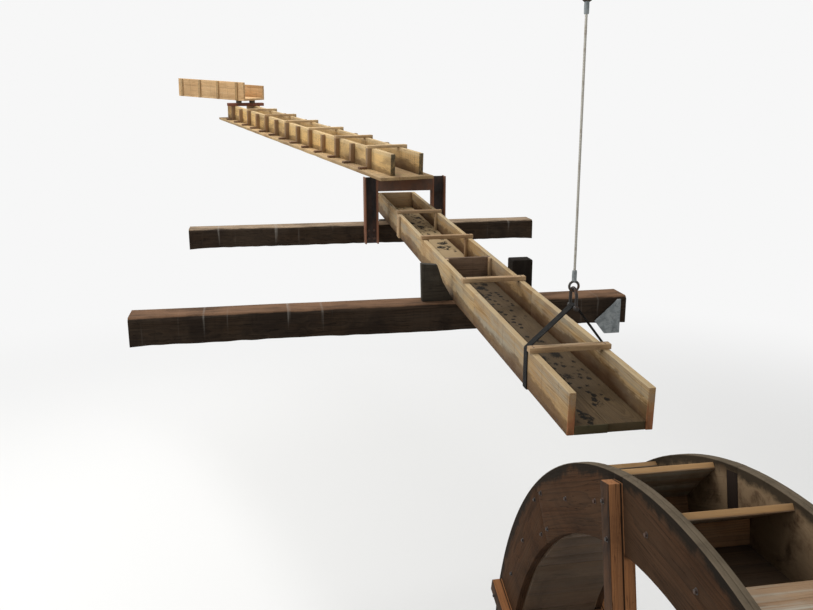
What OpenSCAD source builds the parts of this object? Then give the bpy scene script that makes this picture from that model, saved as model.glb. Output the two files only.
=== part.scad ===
// Pitch-back water wheel with the timber launder that feeds it.
// X runs along the cross beams and the axle, Y runs upstream, Z is up.
// The origin is the middle of the lower cross beam's left end face.

/* [Cross beams] */
// Length of the lower cross beam
lower_beam_len = 3610; // [3300:10:4200]
// Length of the upper cross beam
upper_beam_len = 3700; // [3300:10:4200]
// How far the upper beam's left end stands in from the lower one's
upper_beam_inset = 200; // [0:10:400]
// Size of a cross beam along the launder
beam_depth = 250; // [220:5:300]
// Height of a cross beam
beam_h = 208; // [180:2:240]
// Distance between the two cross beams, centre to centre
beam_spacing = 3140; // [2900:10:3400]
// Wane cut off the top arrises of a beam
beam_wane = 22; // [8:1:40]

/* [Lower launder] */
// Distance of the launder's centre from the beam's left end
launder_x = 2516; // [2300:2:2700]
// Fall of the lower launder, in degrees
launder_fall = 2.06; // [1:0.02:3]
// Width over the two side boards
launder_w = 434; // [400:2:520]
// Height of a side board
launder_h = 217; // [190:1:260]
// Thickness of a side board
launder_wall = 36; // [28:1:45]
// Thickness of the floor boards
launder_floor = 45; // [30:1:55]
// Reach of the spout beyond the lower beam's centre
spout_reach = 2404; // [2250:2:2550]
// Reach of the head beyond the lower beam's centre
head_reach = 3880; // [3700:10:4000]
// Distance of the first tie from the spout's end
tie_first = 585; // [560:5:640]
// Spacing of the first three ties
tie_spacing = 1500; // [1450:5:1540]
// Distance of the last tie, near the launder's head, from the spout's end
tie_last = 4870; // [4800:5:5000]
// Width of a tie along the launder
tie_w = 50; // [35:1:60]
// Thickness of a tie
tie_t = 30; // [20:1:40]
// How far a tie passes the side boards
tie_overhang = 12; // [4:1:30]
// Distance of the butt joint in the side boards from the spout's end
joint_from_spout = 1784; // [1700:2:1900]
// Open gap of a butt joint
joint_gap = 3; // [2:0.5:6]
// Distance of the stop board from the spout's end
stop_from_spout = 2830; // [2700:5:2950]
// Thickness of the stop board
stop_t = 30; // [22:1:40]
// Width of an upright batten
batten_w = 46; // [30:1:60]
// Thickness of an upright batten
batten_t = 20; // [12:1:30]
// Width of the cover batten outside the left side board
cover_w = 120; // [80:2:160]

/* [Cheeks on the lower beam] */
// Height of the left knee board
knee_h = 281; // [240:1:320]
// Width of the knee at its foot
knee_foot = 234; // [200:2:280]
// Width of the knee at its top
knee_top = 112; // [80:2:150]
// Thickness of the knee board
knee_t = 60; // [40:1:80]
// Height of the right cheek post
cheek_h = 290; // [240:1:320]
// Width of the right cheek post
cheek_w = 155; // [100:1:180]
// Depth of the right cheek post
cheek_d = 130; // [90:2:180]

/* [Portal] */
// Width over the posts
portal_w = 864; // [820:2:960]
// Height of the portal's top above the upper beam's top
portal_rise = 510; // [470:2:560]
// Width of a steel section
section_w = 143; // [120:1:160]
// Depth of a steel section
section_d = 140; // [110:1:160]
// Thickness of a flange
flange_t = 15; // [8:1:20]
// Thickness of a web
web_t = 10; // [6:1:14]
// How far the left post stands from the lower launder's side
portal_left_gap = 135; // [120:1:160]

/* [Upper launder] */
// How far the upper launder's front stands left of the lower one's centre
upper_offset = 42; // [0:2:60]
// Turn of the upper launder, in degrees
upper_turn = 15.6; // [12:0.1:20]
// Fall of the upper launder, in degrees
upper_fall = 3.7; // [2:0.05:5]
// Length of the upper launder
upper_len = 6700; // [6550:10:7000]
// Overhang of the upper floor past the portal's front
upper_lip = 205; // [150:5:240]
// Width over the upper side boards
upper_w = 370; // [350:2:440]
// Height of the upper side boards above the floor
upper_h = 220; // [190:2:260]
// Thickness of the upper side boards
upper_wall = 48; // [36:1:60]
// Distance of the side boards' front ends from the floor's front edge
upper_wall_back = 100; // [10:2:200]
// Thickness of the upper floor
upper_floor = 32; // [24:1:45]
// Width of the left ledge of the floor
ledge_left = 160; // [110:2:200]
// Width of the right ledge of the floor
ledge_right = 80; // [70:2:160]
// Number of posts on a side
post_count = 13; // [9:1:13]
// Distance of the first post from the front
post_first = 620; // [500:5:700]
// Spacing of the posts
post_pitch = 469; // [430:1:480]
// Side of a square post
post_side = 50; // [36:1:60]
// Length of a foot cleat beside a post
cleat_len = 88; // [60:1:94]
// Height of a foot cleat
cleat_h = 24; // [14:1:30]

/* [Head trough] */
// How far the trough's mouth stands right of the upper launder's centre
trough_shift = 130; // [60:2:160]
// How far the middle of the trough's mouth passes its bearer
trough_over = 60; // [30:2:90]
// Turn of the head trough, in degrees
trough_turn = 46.8; // [40:0.2:52]
// Length of the head trough
trough_len = 1500; // [1200:10:1800]
// Width over the trough's side boards
trough_w = 480; // [420:2:520]
// Height of the trough's left side board
trough_left_h = 290; // [250:2:320]
// Height of the trough's right side board
trough_right_h = 225; // [190:2:250]
// Thickness of the trough's boards
trough_board = 32; // [24:1:40]
// Height of the bearer under the trough
bearer_h = 46; // [36:1:60]
// Height of the packers on the bearer
packer_h = 44; // [30:1:60]

/* [Wheel] */
// Radius of the wheel
wheel_r = 2100; // [1950:5:2150]
// Width over the shrouds
wheel_w = 530; // [480:2:580]
// Depth of the shrouds
shroud_depth = 310; // [280:2:340]
// Thickness of a shroud
shroud_t = 45; // [36:1:55]
// Distance of the axle downstream of the lower beam's centre
axle_reach = 3533; // [3480:1:3600]
// Drop of the axle below the lower beam's centre
axle_drop = 1913; // [1900:1:2100]
// Number of buckets
bucket_count = 24; // [18:6:30]
// Thickness of the bucket boards
bucket_t = 28; // [20:1:34]
// Thickness of the sole boards
sole_t = 25; // [18:1:32]
// Height of a bucket's elbow above the sole
riser_h = 122; // [100:1:135]
// How far a face board stops short of the rim
rim_short = 14; // [6:1:30]
// Sweep of a bucket's face board, in degrees
face_sweep = 8.2; // [6:0.1:10]
// Turn of the first bucket riser from the top, in degrees
riser_turn = 9.4; // [0:0.1:14]
// Number of arms on a side
arm_count = 6; // [4:1:8]
// Turn of the first arm from the top, in degrees
arm_turn = 12.3; // [0:0.1:14]
// Width of an arm
arm_w = 80; // [60:1:100]
// How far an arm stands proud of the shroud
arm_proud = 58; // [40:1:70]
// How far an arm stops short of the rim
arm_short = 28; // [10:1:60]

/* [Axle and bearings] */
// Radius of the axle
axle_r = 60; // [50:1:75]
// Radius of the axle's stub end
stub_r = 50; // [40:1:58]
// Length of the stub end
stub_len = 110; // [80:5:160]
// Running clearance of the axle in its bearings, on the radius
axle_clear = 0.05; // [0.02:0.01:0.1]
// Radius of a hub flange
hub_r = 350; // [280:5:400]
// Thickness of a hub flange
hub_t = 18; // [12:1:30]
// Radius of a hub's boss
boss_r = 112; // [95:1:130]
// Length of a hub's boss outside the flange
boss_len = 58; // [30:1:80]
// Distance of a bearing's middle from the wheel's middle
bearing_reach = 590; // [570:2:680]
// Length of a bearing
bearing_len = 170; // [140:2:190]
// Radius of a bearing housing
housing_r = 105; // [95:1:125]
// Height of the axle above the bearing's base
bearing_rise = 140; // [125:1:170]
// Length of a bearing's base
base_len = 420; // [360:5:480]

/* [Bearing trestles] */
// Side of a trestle timber
trestle_side = 200; // [180:2:230]
// Length of a trestle's cap
cap_len = 1300; // [1100:10:1500]
// Length of a trestle's sill
sill_len = 2700; // [2300:10:3000]
// Height of the wheel's rim above the ground
ground_gap = 170; // [100:5:300]

/* [Sling] */
// Gap between the sling and the first tie
sling_gap = 4; // [3:1:40]
// Width of the sling strap
sling_w = 60; // [30:1:70]
// Thickness of the sling strap
sling_t = 7; // [4:1:10]
// Height of the sling's apex above the side boards
sling_rise = 220; // [200:5:300]
// Distance of the cable from the launder's centre line, to the right
hanger_shift = 36; // [-60:2:60]
// Radius of the cable
cable_r = 7; // [4:0.5:10]
// Height of the ceiling plate above the lower beam's centre
ceiling_h = 2150; // [2050:10:2400]

/* [Hidden] */

$fn = 96;

// Gap left where two pieces only bear on each other
seat = 0.3;
// Small overlap that lets a cut pass a face
past = 1;

old_timber = [0.30, 0.21, 0.15];
board_wood = [0.72, 0.58, 0.40];
grey_wood = [0.48, 0.44, 0.38];
wheel_wood = [0.33, 0.24, 0.18];
fresh_wood = [0.76, 0.56, 0.34];
rust_steel = [0.42, 0.20, 0.13];
zinc = [0.62, 0.64, 0.64];
black_web = [0.10, 0.10, 0.10];
iron = [0.25, 0.25, 0.26];

beam_top = beam_h / 2;
launder_rise = tan(launder_fall);
upper_beam_top = beam_top + beam_spacing * launder_rise;
upper_beam_front = beam_spacing - beam_depth / 2;
// The launder's underside meets each beam's upstream top arris
launder_seat_z = beam_top - launder_rise * beam_depth / 2 + seat;

// Lies the children along the lower launder: y from the spout's end, z from the underside
module along_launder() {
    translate([launder_x, 0, launder_seat_z])
        rotate([launder_fall, 0, 0])
            translate([0, -spout_reach / cos(launder_fall), 0])
                children();
}
launder_len = (spout_reach + head_reach) / cos(launder_fall);

portal_x = launder_x - launder_w / 2 - portal_left_gap - section_w + portal_w / 2;
portal_top = upper_beam_top + portal_rise;
portal_front = upper_beam_front - section_d - seat;
portal_foot = upper_beam_top - beam_h + 20;

upper_x = launder_x - upper_offset;
upper_rise = tan(upper_fall);
upper_right = upper_w / 2 + ledge_right;
upper_left = upper_w / 2 + ledge_left;
// The floor's underside meets the portal's front top edge at the floor's right edge
upper_front_z = portal_top + seat - upper_rise
    * (upper_lip / cos(upper_turn) - upper_right * tan(upper_turn));

// Lies the children along the upper launder: y from its front, z from the underside
module along_upper() {
    translate([upper_x, portal_front - upper_lip, upper_front_z])
        rotate([0, 0, upper_turn])
            rotate([upper_fall, 0, 0])
                children();
}

trough_station = post_first + (post_count - 1) * post_pitch;

axle_z = -axle_drop;
shroud_in = wheel_r - shroud_depth;
sole_r = shroud_in + sole_t;
elbow_r = sole_r + riser_h;
inside_w = wheel_w - 2 * shroud_t;
bucket_step = 360 / bucket_count;
ground_z = axle_z - wheel_r - ground_gap;
cap_top = axle_z - bearing_rise - seat;
cap_bottom = cap_top - trestle_side;
sill_top = ground_z + trestle_side;

// Puts the children at the wheel's centre, in the row's directions
module at_wheel() {
    translate([launder_x, -axle_reach, axle_z])
        children();
}

// Extrudes an outline drawn in Y and Z along X, from x0 over the length w
module across(x0, w) {
    translate([x0, 0, 0])
        rotate([90, 0, 90])
            linear_extrude(w)
                children();
}

// Extrudes an outline drawn in X and Z along Y, from y0 over the length d
module deep(y0, d) {
    translate([0, y0 + d, 0])
        rotate([90, 0, 0])
            linear_extrude(d)
                children();
}

// Point at radius r and turn a from the top, as [Y, Z]
function polar(r, a) = [r * sin(a), r * cos(a)];

// Hewn beam with waney top arrises, from x0 over the length len, about its own centre
module hewn_beam(x0, len) {
    d = beam_depth / 2;
    h = beam_h / 2;
    across(x0, len)
        polygon([
            [-d, -h], [d, -h], [d, h - beam_wane],
            [d - beam_wane / 2, h], [-d + beam_wane, h], [-d, h - beam_wane]]);
}

module lower_beam() {
    color(old_timber)
        difference() {
            hewn_beam(0, lower_beam_len);
            launder_housing(0);
        }
}

// Shallow housing that beds the launder's sloping underside in the beam at y
module launder_housing(y) {
    translate([launder_x, 0, launder_seat_z - seat])
        rotate([launder_fall, 0, 0])
            translate([-launder_w / 2 - past, y - beam_depth, 0])
                cube([launder_w + 2 * past, 2 * beam_depth, beam_h]);
}

module upper_beam() {
    color(old_timber)
        difference() {
            translate([0, beam_spacing, upper_beam_top - beam_h / 2])
                hewn_beam(upper_beam_inset, upper_beam_len);
            launder_housing(beam_spacing);
        }
}

// Zinc-coated plate on the front of the lower beam's right end
plate_t = 8;
plate_w = 200;
plate_drop = 180;
module beam_end_plate() {
    right = lower_beam_len - 45;
    color(zinc)
        deep(-beam_depth / 2 - plate_t - seat, plate_t)
            polygon([
                [right, beam_top - beam_wane], [right - 24, beam_top - beam_wane],
                [right - plate_w, -beam_h * 0.38], [right - plate_w * 0.6, -plate_drop],
                [right, -plate_drop]]);
}

module left_knee() {
    foot_x = launder_x - launder_w / 2 - seat;
    z0 = beam_top + seat;
    color(grey_wood)
        deep(-knee_t / 2, knee_t)
            polygon([
                [foot_x, z0], [foot_x - knee_foot, z0],
                [foot_x - knee_foot - 6, z0 + knee_h], [foot_x - knee_foot + knee_top, z0 + knee_h - 12],
                [foot_x - knee_foot * 0.34, z0 + knee_h * 0.5]]);
}

module right_cheek() {
    color(old_timber)
        translate([launder_x + launder_w / 2 + seat, -cheek_d / 2, beam_top + seat])
            cube([cheek_w, cheek_d, cheek_h]);
}

module launder_floor_boards() {
    inner = launder_w - 2 * launder_wall - 2 * seat;
    color(board_wood)
        along_launder()
            translate([-inner / 2, 0, 0])
                cube([inner, launder_len, launder_floor]);
}

// Two boards end to end, with an open butt joint between them
module launder_side(x0) {
    color(board_wood)
        along_launder() {
            translate([x0, 0, 0])
                cube([launder_wall, joint_from_spout, launder_h]);
            translate([x0, joint_from_spout + joint_gap, 0])
                cube([launder_wall, launder_len - joint_from_spout - joint_gap, launder_h]);
        }
}

module launder_left_side() {
    launder_side(-launder_w / 2);
}

module launder_right_side() {
    launder_side(launder_w / 2 - launder_wall);
}

tie_count = 4;
function tie_at(i) = i < tie_count - 1 ? tie_first + i * tie_spacing : tie_last;
module launder_ties() {
    color(board_wood)
        along_launder()
            for (i = [0 : tie_count - 1])
                translate([
                    -launder_w / 2 - tie_overhang, tie_at(i) - tie_w / 2,
                    launder_h + seat])
                    cube([launder_w + 2 * tie_overhang, tie_w, tie_t]);
}

// Upright battens inside the side boards, under the two upper ties
batten_h = launder_h - launder_floor - 2 * seat;
module side_battens() {
    inner = launder_w / 2 - launder_wall - seat;
    color(board_wood)
        along_launder() {
            for (i = [2, 3])
                for (x = [-inner, inner - batten_t])
                    translate([x, tie_at(i) - batten_w / 2, launder_floor + seat])
                        cube([batten_t, batten_w, batten_h]);
            for (x = [-inner, inner - batten_t])
                translate([x, stop_from_spout - batten_w - seat, launder_floor + seat])
                    cube([batten_t, batten_w, batten_h]);
        }
}

module cover_batten() {
    color(board_wood)
        along_launder()
            translate([
                -launder_w / 2 - batten_t - seat, tie_last - cover_w - tie_w, 0])
                cube([batten_t, cover_w, launder_h]);
}

module stop_board() {
    inner = launder_w - 2 * launder_wall - 2 * seat;
    color(grey_wood)
        along_launder()
            translate([-inner / 2, stop_from_spout, launder_floor + seat])
                cube([inner, stop_t, launder_h - launder_floor]);
}

module head_board() {
    inner = launder_w - 2 * launder_wall - 2 * seat;
    color(board_wood)
        along_launder()
            translate([-inner / 2, launder_len - stop_t, launder_floor + seat])
                cube([inner, stop_t, launder_h - launder_floor]);
}

// Cross batten under the launder's head, tight behind the upper beam
bearer_size = [560, 100, 80];
module head_bearer() {
    color(grey_wood)
        along_launder()
            translate([
                -bearer_size[0] / 2,
                (spout_reach + beam_spacing + beam_depth / 2) / cos(launder_fall) + 12,
                -bearer_size[2] - seat])
                cube(bearer_size);
}

// Steel section: two flanges across the depth d, joined by a web over the width w
module section_outline(w, d) {
    for (x = [-w / 2, w / 2 - flange_t])
        translate([x, 0])
            square([flange_t, d]);
    translate([-w / 2, (d - web_t) / 2])
        square([w, web_t]);
}

// Posts stand in front of the upper beam, flanges left and right
module portal_posts() {
    color(rust_steel)
        for (s = [-1, 1])
            translate([portal_x + s * (portal_w - section_w) / 2, portal_front, portal_foot])
                linear_extrude(portal_top - portal_foot)
                    section_outline(section_w, section_d);
}

// Head between the posts, one flange to the front and one to the back
module portal_head() {
    head_len = portal_w - 2 * section_w - 2 * seat;
    color(rust_steel)
        translate([portal_x - head_len / 2, portal_front, portal_top])
            rotate([0, 90, 0])
                linear_extrude(head_len)
                    translate([0, section_d / 2])
                        rotate(-90)
                            section_outline(section_d, section_w);
}

module upper_floor_boards() {
    color(board_wood)
        along_upper()
            translate([-upper_left, 0, 0])
                cube([upper_left + upper_right, upper_len, upper_floor]);
}

module upper_side(x0) {
    color(board_wood)
        along_upper()
            translate([x0, upper_wall_back, upper_floor + seat])
                cube([upper_wall, upper_len - upper_wall_back, upper_h]);
}

module upper_left_side() {
    upper_side(-upper_w / 2);
}

module upper_right_side() {
    upper_side(upper_w / 2 - upper_wall);
}

// Posts outside both side boards
module upper_posts() {
    color(grey_wood)
        along_upper()
            for (i = [0 : post_count - 1])
                for (x = [-upper_w / 2 - post_side - seat, upper_w / 2 + seat])
                    translate([x, post_first + i * post_pitch - post_side / 2, upper_floor + seat])
                        cube([post_side, post_side, upper_h]);
}

// A tie on every second post, from outer face to outer face
module upper_ties() {
    color(board_wood)
        along_upper()
            for (i = [0 : 2 : post_count - 3])
                translate([
                    -upper_w / 2 - post_side, post_first + i * post_pitch - post_side / 2,
                    upper_floor + upper_h + 2 * seat])
                    cube([upper_w + 2 * post_side, post_side, tie_t]);
}

module foot_cleats() {
    color(old_timber)
        along_upper()
            for (i = [0 : post_count - 1])
                translate([
                    -upper_w / 2 - post_side - 2 * seat - cleat_len,
                    post_first + i * post_pitch - post_side / 2, upper_floor + seat])
                    cube([cleat_len, post_side, cleat_h]);
}

bearer_w = 100;
bearer_over = 60;
bearer_z = upper_floor + upper_h + 2 * seat;
// Bearer across the side boards at the last pair of posts
module trough_bearer() {
    span = upper_w + 2 * post_side + 2 * bearer_over;
    color(rust_steel)
        along_upper()
            translate([-span / 2, trough_station - bearer_w / 2, bearer_z])
                cube([span, bearer_w, bearer_h]);
}

// Lies the children along the head trough: y from its mouth, z from the underside
module along_trough() {
    along_upper()
        translate([
            trough_shift, trough_station - trough_over,
            bearer_z + bearer_h + packer_h + 2 * seat])
            rotate([0, 0, trough_turn - upper_turn])
                children();
}

module trough_floor() {
    color(fresh_wood)
        along_trough()
            translate([-trough_w / 2, 0, 0])
                cube([trough_w, trough_len, trough_board]);
}

packer_side = 70;
packer_reach = 110;
// Two packers between the bearer and the trough's floor
module trough_packers() {
    color(old_timber)
        along_upper()
            for (s = [-1, 1])
                translate([
                    s * packer_reach - packer_side / 2, trough_station - bearer_w / 2,
                    bearer_z + bearer_h + seat])
                    cube([packer_side, bearer_w, packer_h]);
}

module trough_sides() {
    color(fresh_wood)
        along_trough() {
            translate([-trough_w / 2, 0, trough_board + seat])
                cube([trough_board, trough_len, trough_left_h - trough_board]);
            translate([trough_w / 2 - trough_board, 0, trough_board + seat])
                cube([trough_board, trough_len, trough_right_h - trough_board]);
        }
}

trough_batten_first = 130;
trough_batten_pitch = 420;
trough_batten_count = 4;
module trough_battens() {
    color(grey_wood)
        along_trough()
            for (i = [0 : trough_batten_count - 1])
                translate([
                    -trough_w / 2 - batten_t - seat,
                    min(trough_batten_first + i * trough_batten_pitch, trough_len - batten_w), 0])
                    cube([batten_t, batten_w, trough_left_h]);
}

// The sling lies round the launder just upstream of its first tie
sling_y = -spout_reach
    + (tie_first + tie_w / 2 + sling_gap + sling_w / 2) * cos(launder_fall);
launder_under = launder_seat_z + sling_y * launder_rise;
sling_bottom = launder_under - launder_rise * sling_w - seat;
sling_shoulder = launder_under + launder_h + seat;
pin_r = 10;
pin_z = sling_shoulder + sling_rise;
sling_half = launder_w / 2 + seat;

// Closed band round the launder that comes together over the shackle's pin
module sling_outline(t) {
    polygon([
        [-sling_half - t, sling_bottom - t], [sling_half + t, sling_bottom - t],
        [sling_half + t, sling_shoulder + t / 2], [hanger_shift + pin_r + 4 + t, pin_z],
        [hanger_shift + pin_r + 1, pin_z + pin_r + seat + t],
        [hanger_shift - pin_r - 1, pin_z + pin_r + seat + t],
        [hanger_shift - pin_r - 4 - t, pin_z], [-sling_half - t, sling_shoulder + t / 2]]);
}

module sling() {
    color(black_web)
        translate([launder_x, 0, 0])
            deep(sling_y - sling_w / 2, sling_w)
                difference() {
                    sling_outline(sling_t);
                    sling_outline(0);
                }
}

shackle_bar = 9;
shackle_half = sling_w / 2 + shackle_bar + 4;
pin_half = shackle_half + shackle_bar + 10;
bow_z = pin_z + 60;
// Bow shackle: pin through the sling's apex, two legs and a round bow
module shackle() {
    color(iron)
        translate([launder_x + hanger_shift, sling_y, 0])
            union() {
                translate([0, pin_half, pin_z])
                    rotate([90, 0, 0])
                        cylinder(h = 2 * pin_half, r = pin_r);
                for (s = [-1, 1])
                    translate([0, s * shackle_half, pin_z])
                        cylinder(h = bow_z - pin_z, r = shackle_bar);
                translate([0, 0, bow_z])
                    rotate([90, 0, 90])
                        rotate_extrude(angle = 180)
                            translate([shackle_half, 0])
                                circle(r = shackle_bar);
            }
}

eye_r = 26;
eye_low = bow_z + shackle_half - shackle_bar - cable_r - seat;
ferrule_len = 60;
ferrule_r = 13;
// Taut steel cable with a ferruled eye at each end
module hanger_cable() {
    top_eye = ceiling_h - 70;
    low_ferrule = eye_low + 2 * eye_r + 1;
    top_ferrule = top_eye - 2 * eye_r - ferrule_len - 1;
    color(zinc)
        translate([launder_x + hanger_shift, sling_y, 0])
            union() {
                cable_eye(eye_low + eye_r);
                cable_eye(top_eye - eye_r);
                translate([0, 0, low_ferrule + ferrule_len / 2])
                    cylinder(h = top_ferrule - low_ferrule, r = cable_r);
                for (z = [low_ferrule, top_ferrule])
                    translate([0, 0, z])
                        cylinder(h = ferrule_len, r = ferrule_r);
            }
}

module cable_eye(z) {
    translate([0, 0, z])
        rotate([90, 0, 0])
            rotate_extrude()
                translate([eye_r, 0])
                    circle(r = cable_r);
}

plate_side = 140;
// Plate and staple from which the cable hangs
module ceiling_plate() {
    staple_z = ceiling_h - 70 - cable_r - shackle_bar - seat;
    staple_r = 24;
    color(iron)
        translate([launder_x + hanger_shift, sling_y, 0])
            union() {
                translate([-plate_side / 2, -plate_side / 2, ceiling_h])
                    cube([plate_side, plate_side, 12]);
                for (s = [-1, 1])
                    translate([0, s * staple_r, staple_z + staple_r])
                        cylinder(h = ceiling_h - staple_z - staple_r + past, r = shackle_bar);
                translate([0, 0, staple_z + staple_r])
                    rotate([90, 0, 90])
                        rotate([0, 0, 180])
                            rotate_extrude(angle = 180)
                                translate([staple_r, 0])
                                    circle(r = shackle_bar);
            }
}

// Pedestal bearing with its bore along the axle
module bearing(side) {
    color(iron)
        at_wheel()
            translate([side * bearing_reach, 0, 0])
                difference() {
                    union() {
                        translate([-bearing_len / 2, 0, 0])
                            rotate([0, 90, 0])
                                cylinder(h = bearing_len, r = housing_r);
                        translate([-bearing_len / 2, -housing_r, -bearing_rise])
                            cube([bearing_len, 2 * housing_r, bearing_rise]);
                        translate([-bearing_len / 2, -base_len / 2, -bearing_rise])
                            cube([bearing_len, base_len, 45]);
                    }
                    translate([-bearing_len, 0, 0])
                        rotate([0, 90, 0])
                            cylinder(h = 2 * bearing_len, r = axle_r + axle_clear);
                }
}

module left_bearing() {
    bearing(-1);
}

module right_bearing() {
    bearing(1);
}

module trestle_caps() {
    color(old_timber)
        for (side = [-1, 1])
            translate([
                launder_x + side * bearing_reach - trestle_side / 2,
                -axle_reach - cap_len / 2, cap_bottom])
                cube([trestle_side, cap_len, trestle_side]);
}

// Two raking legs and an upright between each cap and its sill
module trestle_legs() {
    top = cap_bottom - seat;
    foot = sill_top + seat;
    t = trestle_side * 0.8;
    head_y = cap_len / 2 - t * 1.2;
    foot_y = sill_len / 2 - t * 1.4;
    color(old_timber)
        for (side = [-1, 1])
            translate([0, -axle_reach, 0])
                across(launder_x + side * bearing_reach - t / 2, t) {
                    for (s = [-1, 1])
                        polygon([
                            [s * head_y, top], [s * (head_y - t * 1.1), top],
                            [s * (foot_y - t * 1.1), foot], [s * foot_y, foot]]);
                    polygon([[-t / 2, top], [t / 2, top], [t / 2, foot], [-t / 2, foot]]);
                }
}

module trestle_sills() {
    color(old_timber)
        for (side = [-1, 1])
            translate([
                launder_x + side * bearing_reach - trestle_side / 2,
                -axle_reach - sill_len / 2, ground_z])
                cube([trestle_side, sill_len, trestle_side]);
}

axle_len = 2 * bearing_reach + bearing_len + 60;
// Plain axle with a thinner stub on the right for a coupling
module axle() {
    color(iron)
        at_wheel()
            translate([-axle_len / 2, 0, 0])
                rotate([0, 90, 0])
                    union() {
                        cylinder(h = axle_len, r = axle_r);
                        cylinder(h = axle_len + stub_len, r = stub_r);
                    }
}

// Flange and boss bolted to the outer faces of the arms
hub_face = wheel_w / 2 + arm_proud + seat;
module hubs() {
    color(iron)
        at_wheel()
            for (side = [-1, 1])
                rotate([0, side * 90, 0])
                    difference() {
                        union() {
                            translate([0, 0, hub_face])
                                cylinder(h = hub_t, r = hub_r);
                            translate([0, 0, hub_face])
                                cylinder(h = hub_t + boss_len, r = boss_r);
                        }
                        cylinder(h = 2 * hub_face, r = axle_r + seat);
                    }
}

arm_root = 130;
// Arms of two boards each, let in between the felloes and standing proud outside
module arms(side) {
    arm_d = arm_proud + shroud_t;
    board = (arm_d - seat) / 2;
    x0 = side > 0 ? inside_w / 2 : -inside_w / 2 - arm_d;
    color(fresh_wood)
        at_wheel()
            for (i = [0 : arm_count - 1])
                rotate([-arm_turn - i * 360 / arm_count, 0, 0])
                    for (x = [x0, x0 + board + seat])
                        translate([x, -arm_w / 2, arm_root])
                            cube([board, arm_w, wheel_r - arm_short - arm_root]);
}

module left_arms() {
    arms(-1);
}

module right_arms() {
    arms(1);
}

// Ring of felloes, cut through where the arms pass
module shroud(side) {
    x0 = side > 0 ? inside_w / 2 : -inside_w / 2 - shroud_t;
    color(wheel_wood)
        at_wheel()
            difference() {
                translate([x0, 0, 0])
                    rotate([0, 90, 0])
                        cylinder(h = shroud_t, r = wheel_r, $fn = 180);
                translate([x0 - past, 0, 0])
                    rotate([0, 90, 0])
                        cylinder(h = shroud_t + 2 * past, r = shroud_in, $fn = 180);
                for (i = [0 : arm_count - 1])
                    rotate([-arm_turn - i * 360 / arm_count, 0, 0])
                        translate([x0 - past, -arm_w / 2 - seat, shroud_in - shroud_depth])
                            cube([shroud_t + 2 * past, arm_w + 2 * seat, 3 * shroud_depth]);
            }
}

module left_shroud() {
    shroud(-1);
}

module right_shroud() {
    shroud(1);
}

// One flat sole board between each pair of risers
module sole_boards() {
    gap = 0.05;
    color(wheel_wood)
        at_wheel()
            across(-inside_w / 2 + seat, inside_w - 2 * seat)
                for (i = [0 : bucket_count - 1]) {
                    a = riser_turn + i * bucket_step + gap;
                    b = riser_turn + (i + 1) * bucket_step - gap;
                    polygon([
                        polar(sole_r, a), polar(sole_r, b),
                        polar(sole_r - sole_t, b), polar(sole_r - sole_t, a)]);
                }
}

// Outline of one bucket in the plane of the wheel, its riser's back on the Z axis
rim_end = polar(wheel_r - rim_short, -face_sweep);
face_low = [0, elbow_r];
face_run = (rim_end - face_low) / norm(rim_end - face_low);
face_off = [-face_run[1], face_run[0]] * bucket_t;
mitre = -bucket_t / face_run[0];
riser_low = elbow_r - mitre - seat;
riser_high = riser_low - bucket_t * face_run[1] / face_run[0];

// Places an outline at every bucket and makes it as wide as the wheel's inside
module at_buckets() {
    at_wheel()
        across(-inside_w / 2 + seat, inside_w - 2 * seat)
            for (i = [0 : bucket_count - 1])
                rotate(-riser_turn - i * bucket_step)
                    children();
}

// Radial board at the back of each bucket, its top mitred under the face board
module bucket_risers() {
    color(fresh_wood)
        at_buckets()
            polygon([
                [0, sole_r + seat], [0, riser_low],
                [-bucket_t, riser_high], [-bucket_t, sole_r + seat]]);
}

// Sloping board from each riser's top out to the rim
module bucket_faces() {
    color(fresh_wood)
        at_buckets()
            polygon([face_low, rim_end, rim_end + face_off, [0, elbow_r - mitre]]);
}

lower_beam();
upper_beam();
beam_end_plate();
left_knee();
right_cheek();
launder_floor_boards();
launder_left_side();
launder_right_side();
launder_ties();
side_battens();
cover_batten();
stop_board();
head_board();
head_bearer();
portal_posts();
portal_head();
upper_floor_boards();
upper_left_side();
upper_right_side();
upper_posts();
upper_ties();
foot_cleats();
trough_bearer();
trough_packers();
trough_floor();
trough_sides();
trough_battens();
sling();
shackle();
hanger_cable();
ceiling_plate();
left_bearing();
right_bearing();
trestle_caps();
trestle_legs();
trestle_sills();
axle();
hubs();
left_arms();
right_arms();
left_shroud();
right_shroud();
sole_boards();
bucket_risers();
bucket_faces();
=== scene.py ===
"""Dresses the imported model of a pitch-back water wheel and its two timber launders.

Every length is in metres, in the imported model's own frame: X along the cross beams, Y upstream, Z up.
"""

import math
from functools import partial, reduce

import bpy
import numpy as np
from bpy.props import (
    FloatProperty,
    FloatVectorProperty,
    IntProperty,
    PointerProperty,
)
from bpy.types import Operator, Panel, PropertyGroup
from mathutils import Matrix, Vector


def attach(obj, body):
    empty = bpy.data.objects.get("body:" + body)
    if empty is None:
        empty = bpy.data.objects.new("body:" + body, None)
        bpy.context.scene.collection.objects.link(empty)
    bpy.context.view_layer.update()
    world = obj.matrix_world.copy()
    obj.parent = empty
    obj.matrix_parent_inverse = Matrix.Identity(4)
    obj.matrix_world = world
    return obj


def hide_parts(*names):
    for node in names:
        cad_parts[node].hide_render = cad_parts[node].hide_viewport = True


bl_info = {
    "name": "Water wheel and launders",
    "version": (1, 0, 0),
    "blender": (4, 5, 0),
    "location": "View3D > Sidebar > Water wheel",
    "description": "Boards, timbers, steel and finishes of a bucket wheel and its launders",
    "category": "Add Mesh",
}

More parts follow.
